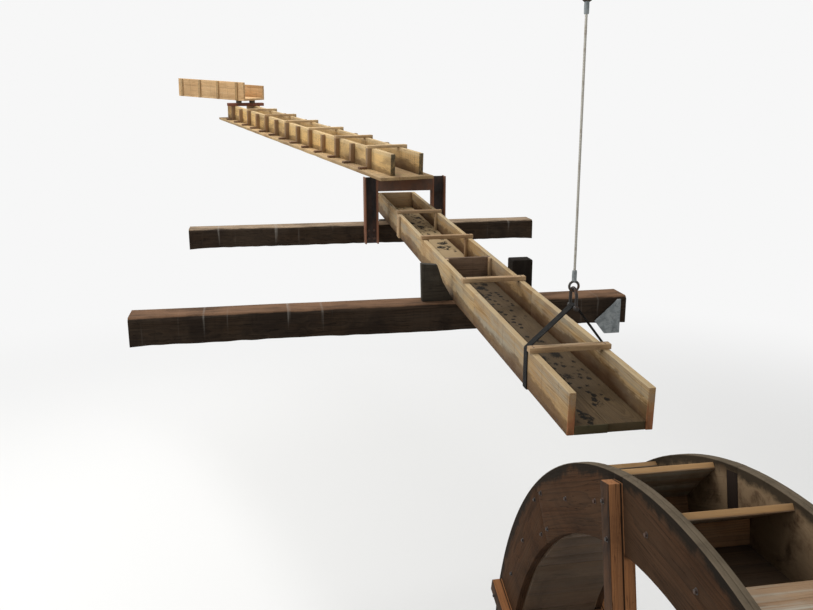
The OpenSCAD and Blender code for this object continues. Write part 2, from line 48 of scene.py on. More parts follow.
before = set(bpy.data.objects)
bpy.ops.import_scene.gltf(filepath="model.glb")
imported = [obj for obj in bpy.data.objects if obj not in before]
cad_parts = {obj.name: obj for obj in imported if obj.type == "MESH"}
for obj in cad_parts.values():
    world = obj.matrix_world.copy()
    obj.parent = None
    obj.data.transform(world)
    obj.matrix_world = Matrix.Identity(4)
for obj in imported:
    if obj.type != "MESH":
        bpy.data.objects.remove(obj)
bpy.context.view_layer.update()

# Lower launder
LAUNDER_X = 2.516
FALL = math.radians(2.06)
LAUNDER_W = 0.434
LAUNDER_H = 0.217
WALL_T = 0.036
FLOOR_T = 0.045
SPOUT_REACH = 2.404
HEAD_REACH = 3.880
TIE_FIRST = 0.585
TIE_SPACING = 1.5
TIE_LAST = 4.870
TIE_W = 0.050
JOINT_AT = 1.784
STOP_AT = 2.830
SEAT = 0.0003
LAUNDER_LEN = (SPOUT_REACH + HEAD_REACH) / math.cos(FALL)
FLOOR_JOINTS = (2.60, 3.90)
TIE_T = 0.030
TIE_PROUD = 0.012
BATTEN_W = 0.046
BATTEN_T = 0.020
COVER_BACK = 0.170
COVER_W = 0.120
END_BOARD_T = 0.030
# Half its length, its depth and its height
HEAD_BEARER = (0.280, 0.100, 0.080)

# Cross beams
BEAM_D = 0.250
BEAM_H = 0.208
BEAM_SPACING = 3.140
LOWER_BEAM_LEN = 3.610
UPPER_BEAM_INSET = 0.200
UPPER_BEAM_LEN = 3.700
UPPER_TOP = BEAM_H / 2 + BEAM_SPACING * math.tan(FALL)
LAUNDER_SEAT = BEAM_H / 2 - math.tan(FALL) * BEAM_D / 2 + SEAT
# The knee board's outline from the launder's left foot, in X and Z
KNEE = ((0, 0), (-0.234, 0), (-0.240, 0.281), (-0.122, 0.269), (-0.080, 0.1405))
KNEE_T = 0.060
# The cheek's width, depth and height
CHEEK = (0.155, 0.130, 0.290)
PLATE_INSET = 0.045
PLATE_T = 0.008
PLATE_LOW = -0.180
# How far each bolt lies left of the plate's right edge, and its height
PLATE_BOLTS = ((0.030, 0.040), (0.045, -0.060), (0.120, -0.070), (0.045, -0.150))

# Portal
PORTAL_W = 0.864
SECTION_W = 0.143
SECTION_D = 0.140
FLANGE_T = 0.015
WEB_T = 0.010
PORTAL_X = LAUNDER_X - LAUNDER_W / 2 - 0.135 - SECTION_W + PORTAL_W / 2
PORTAL_TOP = UPPER_TOP + 0.510
PORTAL_FRONT = BEAM_SPACING - BEAM_D / 2 - SECTION_D - SEAT
PORTAL_FOOT = UPPER_TOP - BEAM_H + 0.020

# Upper launder
UPPER_TURN = math.radians(15.6)
UPPER_FALL = math.radians(3.7)
UPPER_LEN = 6.700
UPPER_W = 0.370
UPPER_H = 0.220
UPPER_WALL = 0.048
UPPER_WALL_BACK = 0.100
UPPER_FLOOR = 0.032
LEDGE_LEFT = 0.160
LEDGE_RIGHT = 0.080
LIP = 0.205
POSTS = 13
POST_FIRST = 0.620
POST_PITCH = 0.469
POST_SIDE = 0.050
UPPER_RIGHT = UPPER_W / 2 + LEDGE_RIGHT
UPPER_LEFT = UPPER_W / 2 + LEDGE_LEFT
UPPER_CUTS = (-UPPER_W / 2 + 0.060, 0.085)
STATION = POST_FIRST + (POSTS - 1) * POST_PITCH
BEARER_Z = UPPER_FLOOR + UPPER_H + 2 * SEAT
BEARER_H = 0.046
BEARER_D = 0.100
CLEAT_LEN = 0.088
CLEAT_T = 0.024
PACKER_H = 0.044

# Head trough
TROUGH_TURN = math.radians(46.8)
TROUGH_LEN = 1.500
TROUGH_W = 0.480
TROUGH_LEFT = 0.290
TROUGH_RIGHT = 0.225
TROUGH_BOARD = 0.032
TROUGH_PITCH = 0.420

# Sling
SLING_GAP = 0.004
SLING_W = 0.060
SLING_T = 0.006
SLING_RISE = 0.220
# The band's middle line: off what it wraps, beside the pin, and where it bends over the pin
SLING_OFF = 0.0035
PIN_SIDE = 0.014
PIN_BEND = (0.011, 0.0103)
SEAM_HALF = 0.026
SEAM_R = 0.0011
HANGER_SHIFT = 0.036
CEILING = 2.150
# Its side and its thickness
CEILING_PLATE = (0.140, 0.012)
BAR_R = 0.0088
PIN_R = 0.0098
WIRE_R = 0.0068
EYE_R = 0.026
FERRULE_LEN = 0.060
STRANDS = 6
LAY = 0.085
STAPLE_R = 0.024
STAPLE_BAR_R = 0.009
STAPLE_REACH = 0.070

# Wheel
RIM = 2.100
WHEEL_W = 0.530
SHROUD_DEPTH = 0.310
SHROUD_T = 0.045
INSIDE = WHEEL_W / 2 - SHROUD_T
BUCKETS = 24
BUCKET_T = 0.028
SOLE_T = 0.025
SHROUD_IN = RIM - SHROUD_DEPTH
SOLE_R = SHROUD_IN + SOLE_T
ELBOW_R = SOLE_R + 0.122
RIM_SHORT = 0.014
FACE_SWEEP = math.radians(8.2)
RISER_TURN = math.radians(9.4)
ARMS = 6
ARM_TURN = math.radians(12.3)
ARM_W = 0.080
ARM_PROUD = 0.058
ARM_ROOT = 0.130
ARM_END = RIM - 0.028
# Each bolt's distance from the axle and from the arm's middle line
ARM_BOLTS = ((SHROUD_IN + 0.060, -0.014), (SHROUD_IN + 0.205, 0.014), (0.80, 0.0), (1.32, 0.0))
HUB_BOLTS_FROM, HUB_BOLTS_TO = 0.190, 0.305
# Where the outer and the inner layer's felloes meet, as a share of the way from one arm to the next
FELLOE_JOINTS = (0.50, 0.36)
AXLE_Y = -3.533
AXLE_Z = -1.913
AXLE_R = 0.060
HUB_R = 0.350
HUB_T = 0.018
BOSS_R = 0.112
BOSS_LEN = 0.058
HUB_FACE = WHEEL_W / 2 + ARM_PROUD + SEAT
BEARING_AT = 0.590
BEARING_LEN = 0.170
HOUSING_R = 0.105
BEARING_RISE = 0.140
BASE_LEN = 0.420
GROUND = AXLE_Z - RIM - 0.170
TRESTLE = 0.200
PEDESTAL_T = 0.045
CAP_LEN = 1.300
SILL_LEN = 2.700

# Bolt heads: the radius over the corners, and the height
SMALL_BOLT = (0.009, 0.008)
PLATE_BOLT = (0.012, 0.010)
POST_BOLT = (0.012, 0.012)
PIN_NUT = (0.0135, 0.008)
TRESTLE_BOLT = (0.014, 0.012)
HUB_BOLT = (0.014, 0.014)
BASE_BOLT = (0.015, 0.020)

# Gaps between two layers of a shroud, and half of one between two felloes
LAYER_GAP = 0.0002
JOINT_GAP = 0.0004

TAU = 2 * math.pi
# The radius of the flat that closes a turned solid
POLE = 0.0006


def turned(axis, angle):
    """A turn about one axis, as a 4 by 4 array."""
    return np.array(Matrix.Rotation(angle, 4, axis))


def moved(x, y, z):
    """A shift, as a 4 by 4 array."""
    return np.array(Matrix.Translation((x, y, z)))


IN_PLACE = np.eye(4)
ON_LOWER = (
    moved(LAUNDER_X, 0, LAUNDER_SEAT)
    @ turned("X", FALL)
    @ moved(0, -SPOUT_REACH / math.cos(FALL), 0)
)
UPPER_FRONT_Z = (
    PORTAL_TOP
    + SEAT
    - math.tan(UPPER_FALL) * (LIP / math.cos(UPPER_TURN) - UPPER_RIGHT * math.tan(UPPER_TURN))
)
ON_UPPER = (
    moved(LAUNDER_X - 0.042, PORTAL_FRONT - LIP, UPPER_FRONT_Z)
    @ turned("Z", UPPER_TURN)
    @ turned("X", UPPER_FALL)
)
ON_TROUGH = (
    ON_UPPER
    @ moved(0.130, STATION - 0.060, BEARER_Z + BEARER_H + PACKER_H + 2 * SEAT)
    @ turned("Z", TROUGH_TURN - UPPER_TURN)
)
ON_WHEEL = moved(LAUNDER_X, AXLE_Y, AXLE_Z)


# Shapes


def unit(vectors):
    """Each vector over its own length."""
    return vectors / np.linalg.norm(vectors, axis=-1, keepdims=True)


def put(points, place):
    """Points of a piece's own frame in the model's."""
    return points @ place[:3, :3].T + place[:3, 3]


def around(count):
    """Even angles round a circle."""
    return np.arange(count) / count * TAU


def ripple(points, waves, seed):
    """A smooth wander between -1 and 1: the mean of a few sine waves of random direction and phase
    over the points, each wave number drawn near the one given for its axis."""
    draw = np.random.default_rng(seed)
    numbers = draw.uniform(0.5, 1.5, (5, points.shape[-1])) * np.asarray(waves)
    numbers *= draw.choice([-1, 1], numbers.shape)
    return np.sin(points @ numbers.T * TAU + draw.uniform(0, TAU, 5)).mean(-1) * 1.6


def rounded(corners, radius, steps=2):
    """An outline with its corners eased: each corner p becomes p - r u, (p - r u + 2 p + p + r v) / 4 and
    p + r v, u and v being the directions in and out, and each side is cut into equal steps."""
    corners = np.asarray(corners, float)
    first = corners - unit(corners - np.roll(corners, 1, axis=-2)) * radius
    last = corners + unit(np.roll(corners, -1, axis=-2) - corners) * radius
    middle = (first + 2 * corners + last) / 4
    onward = np.roll(first, -1, axis=-2)
    cuts = [last + (onward - last) * k / steps for k in range(1, steps)]
    stacked = np.stack([first, middle, last, *cuts], axis=-2)
    return stacked.reshape(*corners.shape[:-2], -1, 2)


def box_corners(wide, thick):
    """The four corners of a rectangle about the origin."""
    return np.array([[-1, -1], [1, -1], [1, 1], [-1, 1]]) * [wide / 2, thick / 2]


def stations(start, end, arris, count):
    """Places along a piece, close together over the arris at each end and then at even steps, and the share
    of an arris by which the outline is drawn in at each of them."""
    inner = np.linspace(start + arris, end - arris, count)
    places = np.concatenate([[start, start + arris * 0.3], inner, [end - arris * 0.3, end]])
    return places, np.concatenate([[1, 0.3], np.zeros(count), [0.3, 1]])


def drawn(outline, amount):
    """The outline moved inwards along its own normals by the amount given for each row."""
    along = unit(np.roll(outline, -1, axis=-2) - outline) + unit(outline - np.roll(outline, 1, axis=-2))
    along = unit(along)
    normal = np.stack([along[..., 1], -along[..., 0]], axis=-1)
    x, y = outline[..., 0], outline[..., 1]
    area = (x * np.roll(y, -1, -1) - y * np.roll(x, -1, -1)).sum(-1)
    normal = normal * np.sign(area)[..., None, None]
    return outline - normal * np.asarray(amount)[..., None, None]


def skin(grid, local, tone, ring=False):
    """Faces over a grid of rows and columns whose columns close on themselves. Rows end in flat caps,
    or join last to first when ring is set. Turned round where the enclosed volume is negative."""
    rows, columns = grid.shape[:2]
    index = np.arange(rows * columns).reshape(rows, columns)
    faces = np.stack([index, np.roll(index, -1, 1), np.roll(index, -1, (0, 1)), np.roll(index, -1, 0)], -1)
    quads = faces[: rows if ring else rows - 1].reshape(-1, 4)
    points = grid.reshape(-1, 3)
    caps = [] if ring else [index[0][::-1], index[-1]]
    middle = points.mean(0)
    a, b, c, d = (points[quads[:, k]] - middle for k in range(4))
    volume = (np.cross(a, b) * c).sum() + (np.cross(a, c) * d).sum()
    for cap in caps:
        p = points[cap] - middle
        volume += (np.cross(p[0], p[1:-1]) * p[2:]).sum()
    if volume < 0:
        quads = quads[:, ::-1]
        caps = [cap[::-1] for cap in caps]
    return {
        "points": points,
        "quads": quads,
        "caps": caps,
        "local": local.reshape(-1, 3),
        "tone": np.full(len(points), tone, float),
    }


def cut_board(outline, along, start, end, place, seed, arris=0.002, step=0.25, bow=0.0, grain=None):
    """A piece sawn to an outline: the outline carried straight along one axis from start to end, drawn in
    over the end arrises, with a bow of half a sine wave. Its fibres run along the axis, or at the angle
    called grain in the outline's own plane. The seed draws its bow, its tone and its place in the log."""
    long = abs(end - start)
    places, share = stations(0, long, arris, max(2, int(round(long / step)) + 1))
    outline = np.asarray(outline, float)
    shaped = drawn(np.broadcast_to(outline, (len(places), *outline.shape)), share * arris)
    draw = np.random.default_rng(seed)
    way = draw.uniform(-1, 1, 2) * bow
    half = np.sin(places / places[-1] * math.pi)[:, None]
    shaped = shaped + (half * way)[:, None, :]
    length = np.broadcast_to((min(start, end) + places)[:, None], shaped.shape[:2])
    first, second = shaped[..., 0], shaped[..., 1]
    order = {"x": (length, first, second), "y": (first, length, second), "z": (first, second, length)}
    grid = np.stack(order[along], axis=-1)
    flat = outline - outline.mean(0)
    if grain is None:
        if np.ptp(flat[:, 1]) > np.ptp(flat[:, 0]):
            flat = flat[:, ::-1]
        heart = draw.uniform([-0.3, 0.02], [0.3, 0.10]) * [np.ptp(flat[:, 0]), 1]
        run, wide, thick = places[:, None], flat[:, 0] + heart[0], flat[:, 1] + heart[1]
    else:
        run = flat @ [math.cos(grain), math.sin(grain)]
        wide = flat @ [-math.sin(grain), math.cos(grain)] + draw.uniform(-0.05, 0.05)
        thick = places[:, None] + draw.uniform(0.02, 0.08)
    local = np.stack(np.broadcast_arrays(run + draw.uniform(0, 40), wide, thick), axis=-1)
    return skin(put(grid, place), local, draw.uniform(0, 1))


def plank(low, high, along, seed, arris=0.003, step=0.06, bow=0.0, place=IN_PLACE):
    """A board that fills a box: a rectangle with eased corners carried along its length, cut at every
    step."""
    low, high = np.asarray(low, float), np.asarray(high, float)
    axis = "xyz".index(along)
    others = [k for k in range(3) if k != axis]
    size = (high - low)[others]
    corners = box_corners(*size) + ((low + high) / 2)[others]
    outline = rounded(corners, arris, 3)
    return cut_board(outline, along, low[axis], high[axis], place, seed, arris, step, bow)


def felloe(inner, outer, x_low, x_high, start, end, seed, arris=0.003, notch=(0, 0)):
    """One board of a ring: a rectangle of radius and thickness carried round the axle by angle. Its grain
    runs straight along the chord, as in a board that was sawn to the curve. notch says which ends stop at
    an arm's side, where the angle from the arm is asin(half the arm's width / radius)."""
    angle, share = stations(start, end, arris / outer, max(4, int(round((end - start) / 0.03))))
    corners = box_corners(outer - inner, x_high - x_low) + [(outer + inner) / 2, (x_low + x_high) / 2]
    outline = rounded(corners, arris, steps=3)
    shaped = drawn(np.broadcast_to(outline, (len(angle), *outline.shape)), share * arris)
    radius, x = shaped[..., 0], shaped[..., 1]
    aside = np.arcsin((ARM_W / 2 + SEAT) / radius)
    run = ((angle - start) / (end - start))[:, None]
    turn = angle[:, None] + aside * (notch[0] * (1 - run) - notch[1] * run)
    grid = np.stack([x, radius * np.sin(turn), radius * np.cos(turn)], axis=-1)
    draw = np.random.default_rng(seed)
    middle = (start + end) / 2
    chord = radius * np.sin(turn - middle)
    height = radius * np.cos(turn - middle) - (inner + outer) / 2
    local = np.stack([chord + draw.uniform(0, 40), height + draw.uniform(-0.05, 0.05), x + 0.06], -1)
    return skin(put(grid, ON_WHEEL), local, draw.uniform(0, 1))


def lathed(profile, centre, axis, steps=32, start=0.0):
    """A profile of (distance along the axis, radius) turned round the axis. A profile whose ends have no
    radius closes at its poles with caps; any other joins its last row to its first."""
    profile = np.asarray(profile, float)
    axis = unit(np.asarray(axis, float))
    side = unit(np.cross(axis, [0, 0, 1.0] if abs(axis[2]) < 0.9 else [1.0, 0, 0]))
    up = np.cross(axis, side)
    angle = start + around(steps)
    spoke = np.cos(angle)[:, None] * side + np.sin(angle)[:, None] * up
    grid = profile[:, 0, None, None] * axis + profile[:, 1, None, None] * spoke + np.asarray(centre, float)
    local = np.stack(
        np.broadcast_arrays(profile[:, 0, None], profile[:, 1, None], angle[None, :] * 0.05), axis=-1
    )
    return skin(grid, local, 0.5, ring=profile[0, 1] > 0.004 and profile[-1, 1] > 0.004)


def turned_solid(profile, centre, axis, steps=32, start=0.0):
    """A lathed profile that is closed with a tiny flat at each pole."""
    profile = [(profile[0][0], POLE), *profile, (profile[-1][0], POLE)]
    return lathed(profile, centre, axis, steps, start)


def bolt(centre, axis, radius, height, washer=True, seed=0):
    """A hexagon head with a chamfered crown, over a round washer."""
    lift = height * 0.22 if washer else 0.0
    ring = [(0, radius * 1.35), (lift * 0.7, radius * 1.35), (lift, radius * 1.27)]
    head = [(lift + height * up, radius * out) for up, out in ((0, 0.94), (0.08, 1), (0.82, 1), (1, 0.84))]
    turn = np.random.default_rng(seed).uniform(0, 1)
    made = [turned_solid(ring, centre, axis, steps=20)] if washer else []
    return [*made, turned_solid(head, centre, axis, steps=6, start=turn)]


def nail(centre, axis):
    """A low domed nail head."""
    dome = [(-0.002, 0.005), (0.0006, 0.005), (0.0016, 0.0035), (0.0020, 0.0015)]
    return turned_solid(dome, centre, axis, steps=10)


def run_along(path):
    """How far each point of a path lies along it."""
    return np.concatenate([[0], np.cumsum(np.linalg.norm(np.diff(path, axis=0), axis=1))])


def tube(path, radius, place=IN_PLACE, steps=16, lobes=0, lobe_depth=0.0, lay=0.1, ring=False):
    """A round bar carried along a path. Lobes raise as many strands round it, each winding once in the
    length called lay. Its frame turns as little as the path allows, from a fixed first side."""
    path = put(np.asarray(path, float), place)
    ahead = np.roll(path, -1, 0) - np.roll(path, 1, 0)
    if not ring:
        ahead[0], ahead[-1] = path[1] - path[0], path[-1] - path[-2]
    ahead = unit(ahead)
    spread = np.linalg.svd(path - path.mean(0))[2][2]
    if abs(ahead @ spread).max() > 0.9:
        spread = np.array([0.0, 1.0, 0.0])
    side = unit(np.cross(ahead, spread))
    up = np.cross(ahead, side)
    run, angle = run_along(path), around(steps)
    winding = lobes * (angle[None, :] - run[:, None] / lay * TAU)
    reach = radius * (1 - lobe_depth * (1 - np.abs(np.cos(winding / 2))) if lobes else np.ones_like(winding))
    grid = path[:, None] + reach[..., None] * (
        np.cos(angle)[None, :, None] * side[:, None] + np.sin(angle)[None, :, None] * up[:, None]
    )
    local = np.stack(np.broadcast_arrays(run[:, None], angle[None, :] * radius, reach), axis=-1)
    return skin(grid, local, 0.5, ring)


def piece(name, parts, finish, slot, *replaces, body="plant"):
    """Puts a list of parts into one mesh, with each part's own coordinates and tone as attributes, and says
    which body it rides on and the nodes that it stands for. Its slot is not used."""
    flat = [one for part in parts for one in (part if isinstance(part, list) else [part])]
    counts = np.cumsum([0, *[len(part["points"]) for part in flat]])
    points, local, tone = (np.concatenate([part[key] for part in flat])
                           for key in ("points", "local", "tone"))
    quads = np.concatenate([part["quads"] + shift for part, shift in zip(flat, counts)])
    caps = [cap + shift for part, shift in zip(flat, counts) for cap in part["caps"]]
    totals = np.array([4] * len(quads) + [len(cap) for cap in caps])
    corners = np.concatenate([quads.reshape(-1), *caps])
    mesh = bpy.data.meshes.new(name)
    mesh.vertices.add(len(points))
    mesh.vertices.foreach_set("co", points.astype(np.float32).reshape(-1))
    mesh.loops.add(len(corners))
    mesh.loops.foreach_set("vertex_index", corners.astype(np.int32))
    mesh.polygons.add(len(totals))
    mesh.polygons.foreach_set("loop_start", np.concatenate([[0], np.cumsum(totals)[:-1]]).astype(np.int32))
    mesh.update(calc_edges=True)
    for key, kind, field, numbers in (("local", "FLOAT_VECTOR", "vector", local),
                                      ("tone", "FLOAT", "value", tone)):
        mark = mesh.attributes.new(key, kind, "POINT")
        mark.data.foreach_set(field, numbers.astype(np.float32).reshape(-1))
    mesh.validate()
    mesh.shade_smooth()
    mesh.set_sharp_from_angle(angle=math.radians(32))
    made = bpy.data.objects.new(name, mesh)
    bpy.context.scene.collection.objects.link(made)
    made.data.materials.append(FINISHES[finish])
    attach(made, body)
    if replaces:
        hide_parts(*replaces)


# Finishes

FINISHES = {}
EFFECTS = {}
BACKDROP = 0.93
WALL_INSIDE = LAUNDER_W / 2 - WALL_T


class Nodes:
    """Adds and joins the nodes of one tree, which keeps a material's recipe short to read."""

    def __init__(self, tree):
        self.tree = tree

    def add(self, kind, _settings=None, **inputs):
        """One node; settings are its own properties, inputs are values or sockets by name or place."""
        node = self.tree.nodes.new(kind)
        for key, value in (_settings or {}).items():
            setattr(node, key, value)
        for key, value in inputs.items():
            socket = node.inputs[int(key[1:])] if key[0] == "_" else node.inputs[key.replace("_", " ")]
            if isinstance(value, bpy.types.NodeSocket):
                self.tree.links.new(value, socket)
            else:
                socket.default_value = value
        return node

    def math(self, how, a, b=0.0, clamp=False):
        """One sum of two numbers."""
        return self.add("ShaderNodeMath", {"operation": how, "use_clamp": clamp}, _0=a, _1=b).outputs[0]

    def times(self, first, *more):
        """The product of all the numbers."""
        return reduce(lambda a, b: self.math("MULTIPLY", a, b), more, first)

    def plus(self, first, *more):
        """The sum of all the numbers."""
        return reduce(lambda a, b: self.math("ADD", a, b), more, first)

    def most(self, first, *more):
        """The largest of the numbers."""
        return reduce(lambda a, b: self.math("MAXIMUM", a, b), more, first)

    def less(self, a, b):
        """What is left of one number after another is taken away."""
        return self.math("SUBTRACT", a, b)

    def size(self, value):
        """A number without its sign."""
        return self.math("ABSOLUTE", value)

    def reach(self, a, b):
        """The length of the two sides' diagonal: the root of a a + b b."""
        return self.math("SQRT", self.plus(self.times(a, a), self.times(b, b)))

    def step(self, value, low, high, out_low=0.0, out_high=1.0):
        """A smooth rise from one value to another between two limits."""
        node = self.add(
            "ShaderNodeMapRange", {"interpolation_type": "SMOOTHSTEP"},
            _0=value, _1=low, _2=high, _3=out_low, _4=out_high)
        return node.outputs[0]

    def mix(self, factor, a, b):
        """One colour blended over another."""
        node = self.add("ShaderNodeMix", {"data_type": "RGBA"}, _0=factor)
        for place, value in ((6, a), (7, b)):
            if isinstance(value, bpy.types.NodeSocket):
                self.tree.links.new(value, node.inputs[place])
            else:
                node.inputs[place].default_value = (*value[:3], 1.0)
        return node.outputs[2]

    def over(self, under, top, *shares):
        """A colour laid over another by the product of the shares."""
        return self.mix(self.times(*shares), under, top)

    def stretched(self, vector, scale, at=(0, 0, 0), turn=(0, 0, 0)):
        """The same place measured with other units along each axis."""
        return self.add("ShaderNodeMapping", None, _0=vector, _1=at, _2=turn, _3=scale).outputs[0]

    def noise(self, vector, scale, detail=4.0, rough=0.55, warp=0.0):
        """A soft cloud between 0 and 1."""
        return self.add(
            "ShaderNodeTexNoise", None, Vector=vector, Scale=scale, Detail=detail, Roughness=rough,
            Distortion=warp).outputs[0]

    def cloud(self, vector, scale, *character):
        """A cloud stretched by its own scale along each axis."""
        return self.noise(self.stretched(vector, scale), 1.0, *character)

    def split(self, vector):
        """The three numbers of a vector."""
        return self.add("ShaderNodeSeparateXYZ", None, _0=vector).outputs

    def join(self, x, y, z):
        """A vector from three numbers."""
        return self.add("ShaderNodeCombineXYZ", None, _0=x, _1=y, _2=z).outputs[0]


def effect(name, inputs, outputs):
    """An empty node group with its named sockets; gives the group, its helper and its two end nodes."""
    group = bpy.data.node_groups.new(name, "ShaderNodeTree")
    for label, kind, value in inputs:
        socket = group.interface.new_socket(label, in_out="INPUT", socket_type="NodeSocket" + kind)
        if value is not None:
            socket.default_value = value
    for label, kind in outputs:
        group.interface.new_socket(label, in_out="OUTPUT", socket_type="NodeSocket" + kind)
    made = Nodes(group)
    return group, made, group.nodes.new("NodeGroupInput").outputs, group.nodes.new("NodeGroupOutput").inputs


def give_back(group, take, *results):
    """Joins the results to the group's end in the order of its outputs."""
    for result, socket in zip(results, take):
        group.links.new(result, socket)
    return group


def sawn_grain():
    """Year rings cut through by a board: rings round a heart line beside the board, bent by slow noise and
    by knots, with fine fibres along the length. The ends of a board show the rings themselves."""
    group, n, give, take = effect(
        "Sawn grain",
        [("Local", "Vector", None), ("Ring width", "Float", 0.006), ("Knots", "Float", 0.6)],
        [("Rings", "Float"), ("Fibre", "Float"), ("Knot", "Float"), ("Bands", "Float")])
    local = give["Local"]
    slow = n.cloud(local, (0.7, 5, 5), 3, 0.5)
    cell = n.add(
        "ShaderNodeTexVoronoi", {"feature": "F1"}, Vector=n.stretched(local, (5.0, 7.5, 2.0)), Scale=1.0,
        Randomness=1.0)
    chosen = n.step(n.split(cell.outputs["Color"])[0], 0.70, 0.72)
    near = n.times(chosen, give["Knots"])
    eye = n.times(n.step(cell.outputs["Distance"], 0.045, 0.085, 1.0, 0.0), near)
    swirl = n.times(n.step(cell.outputs["Distance"], 0.0, 0.34, 0.020, 0.0), near)
    _, y, z = n.split(local)
    bent = n.plus(n.reach(y, z), n.times(slow, 0.055), swirl)
    saw = n.math("FRACT", n.math("DIVIDE", bent, give["Ring width"]))
    late = n.times(n.math("POWER", saw, 2.2), n.step(saw, 0.93, 1.0, 1.0, 0.0))
    fibre = n.cloud(local, (9, 420, 420), 3, 0.6)
    bands = n.cloud(local, (0.9, 26, 26), 4, 0.6)
    return give_back(group, take, late, fibre, eye, bands)


def weather():
    """Marks of water and air: broad stains, thin runs that fall straight down, small specks of dirt, and
    fine open splits along the grain."""
    group, n, give, take = effect(
        "Weather",
        [("Place", "Vector", None), ("Local", "Vector", None)],
        [("Stain", "Float"), ("Runs", "Float"), ("Specks", "Float"), ("Splits", "Float")])
    stain = n.cloud(give["Place"], (3.2, 1.4, 3.2), 5, 0.62, 0.6)
    runs = n.cloud(give["Place"], (34, 34, 1.3), 3, 0.6)
    specks = n.noise(give["Place"], 75.0, 4, 0.7)
    splits = n.cloud(give["Local"], (1.3, 60, 60), 2, 0.45)
    return give_back(group, take, n.step(stain, 0.44, 0.66), n.step(runs, 0.56, 0.74),
                     n.step(specks, 0.60, 0.74), n.step(n.size(n.less(splits, 0.5)), 0.0, 0.010, 1.0, 0.0))


def rust():
    """Rust in two sizes: cloudy patches and fine pits."""
    group, n, give, take = effect(
        "Rust", [("Place", "Vector", None), ("Size", "Float", 6.0)],
        [("Patches", "Float"), ("Pits", "Float")])
    patches = n.noise(give["Place"], give["Size"], 6, 0.65, 0.4)
    pits = n.noise(give["Place"], 260.0, 3, 0.7)
    return give_back(group, take, patches, pits)


class Finish:
    """One material: a surface shader, the marks that it reads, and the groups placed in it."""

    def __init__(self, name, **surface):
        self.material = bpy.data.materials.new(name)
        self.material.use_nodes = True
        tree = self.material.node_tree
        self.n = Nodes(tree)
        self.surface = tree.nodes["Principled BSDF"]
        for key, value in surface.items():
            self.surface.inputs[key.replace("_", " ")].default_value = value
        self.place = tree.nodes.new("ShaderNodeTexCoord").outputs["Object"]
        self.local = self.mark("local", "Vector")
        self.tone = self.mark("tone", "Fac")
        FINISHES[name] = self.material

    def mark(self, name, output):
        """A value that a piece's mesh carries."""
        return self.n.add("ShaderNodeAttribute", {"attribute_name": name}).outputs[output]

    def placed(self, group, **inputs):
        """A shared effect, placed with this finish's own values."""
        return self.n.add("ShaderNodeGroup", {"node_tree": group}, **inputs).outputs

    def feed(self, colour, rough=None, height=None, depth=0.001, metal=None):
        """Joins the worked-out colour, roughness and height to the surface."""
        link = self.n.tree.links.new
        link(colour, self.surface.inputs["Base Color"])
        if rough is not None:
            link(rough, self.surface.inputs["Roughness"])
        if metal is not None:
            link(metal, self.surface.inputs["Metallic"])
        if height is not None:
            bump = self.n.add("ShaderNodeBump", None, Strength=1.0, Distance=depth, Height=height)
            link(bump.outputs[0], self.surface.inputs["Normal"])


def timber(name, light, dark, grey, stain, greyed=0.3, stained=0.5, runs=0.3, specks=0.4, splits=0.5,
           rough=0.72, ring=0.006, shine=0.22, extra=None):
    """Wood: light and dark of the grain, greying, stains, runs, dirt and splits, each by its own share, over
    year rings of the given width, and what else marks this piece."""
    made = Finish(name, Roughness=rough, Specular_IOR_Level=shine)
    n = made.n
    grain = made.placed(EFFECTS["grain"], Local=made.local, Ring_width=ring)
    marks = made.placed(EFFECTS["weather"], Place=made.place, Local=made.local)
    shade = n.plus(n.times(grain["Rings"], 0.70), n.times(grain["Bands"], 0.55),
                   n.times(n.less(made.tone, 0.5), 0.5))
    shade = n.math("ADD", shade, n.times(n.less(grain["Fibre"], 0.5), 0.7), True)
    colour = n.mix(shade, light, dark)
    colour = n.over(colour, [c * 0.35 for c in dark], grain["Knot"], 0.8)
    streak = n.cloud(made.local, (1.1, 22, 22), 4, 0.6)
    broad = n.cloud(made.place, (1.7, 1.1, 1.7), 4, 0.6)
    patch = n.step(n.plus(n.times(streak, 0.5), n.times(broad, 0.5)), 0.40, 0.60)
    colour = n.over(colour, grey, patch, greyed)
    colour = n.over(colour, stain, marks["Stain"], stained)
    colour = n.over(colour, [c * 0.5 for c in stain], marks["Runs"], runs)
    colour = n.over(colour, [c * 0.25 for c in dark], marks["Splits"], splits)
    colour = n.over(colour, [c * 0.35 for c in stain], marks["Specks"], specks)
    height = n.plus(n.times(grain["Fibre"], 0.5), n.times(grain["Rings"], -0.25))
    height = n.plus(height, n.times(marks["Splits"], -1.2 * splits))
    if extra:
        mark, *given = extra
        colour, height = mark(made, colour, height, *given)
    roughness = n.step(grain["Fibre"], 0.2, 0.8, rough - 0.08, rough + 0.1)
    made.feed(colour, roughness, height, 0.0012)


def own_place(made, matrix):
    """The place of a point in a tilted piece's own frame, and its three numbers."""
    back = Matrix(matrix.tolist()).inverted()
    own = made.n.stretched(made.place, (1, 1, 1), tuple(back.translation), tuple(back.to_euler("XYZ")))
    return own, made.n.split(own)


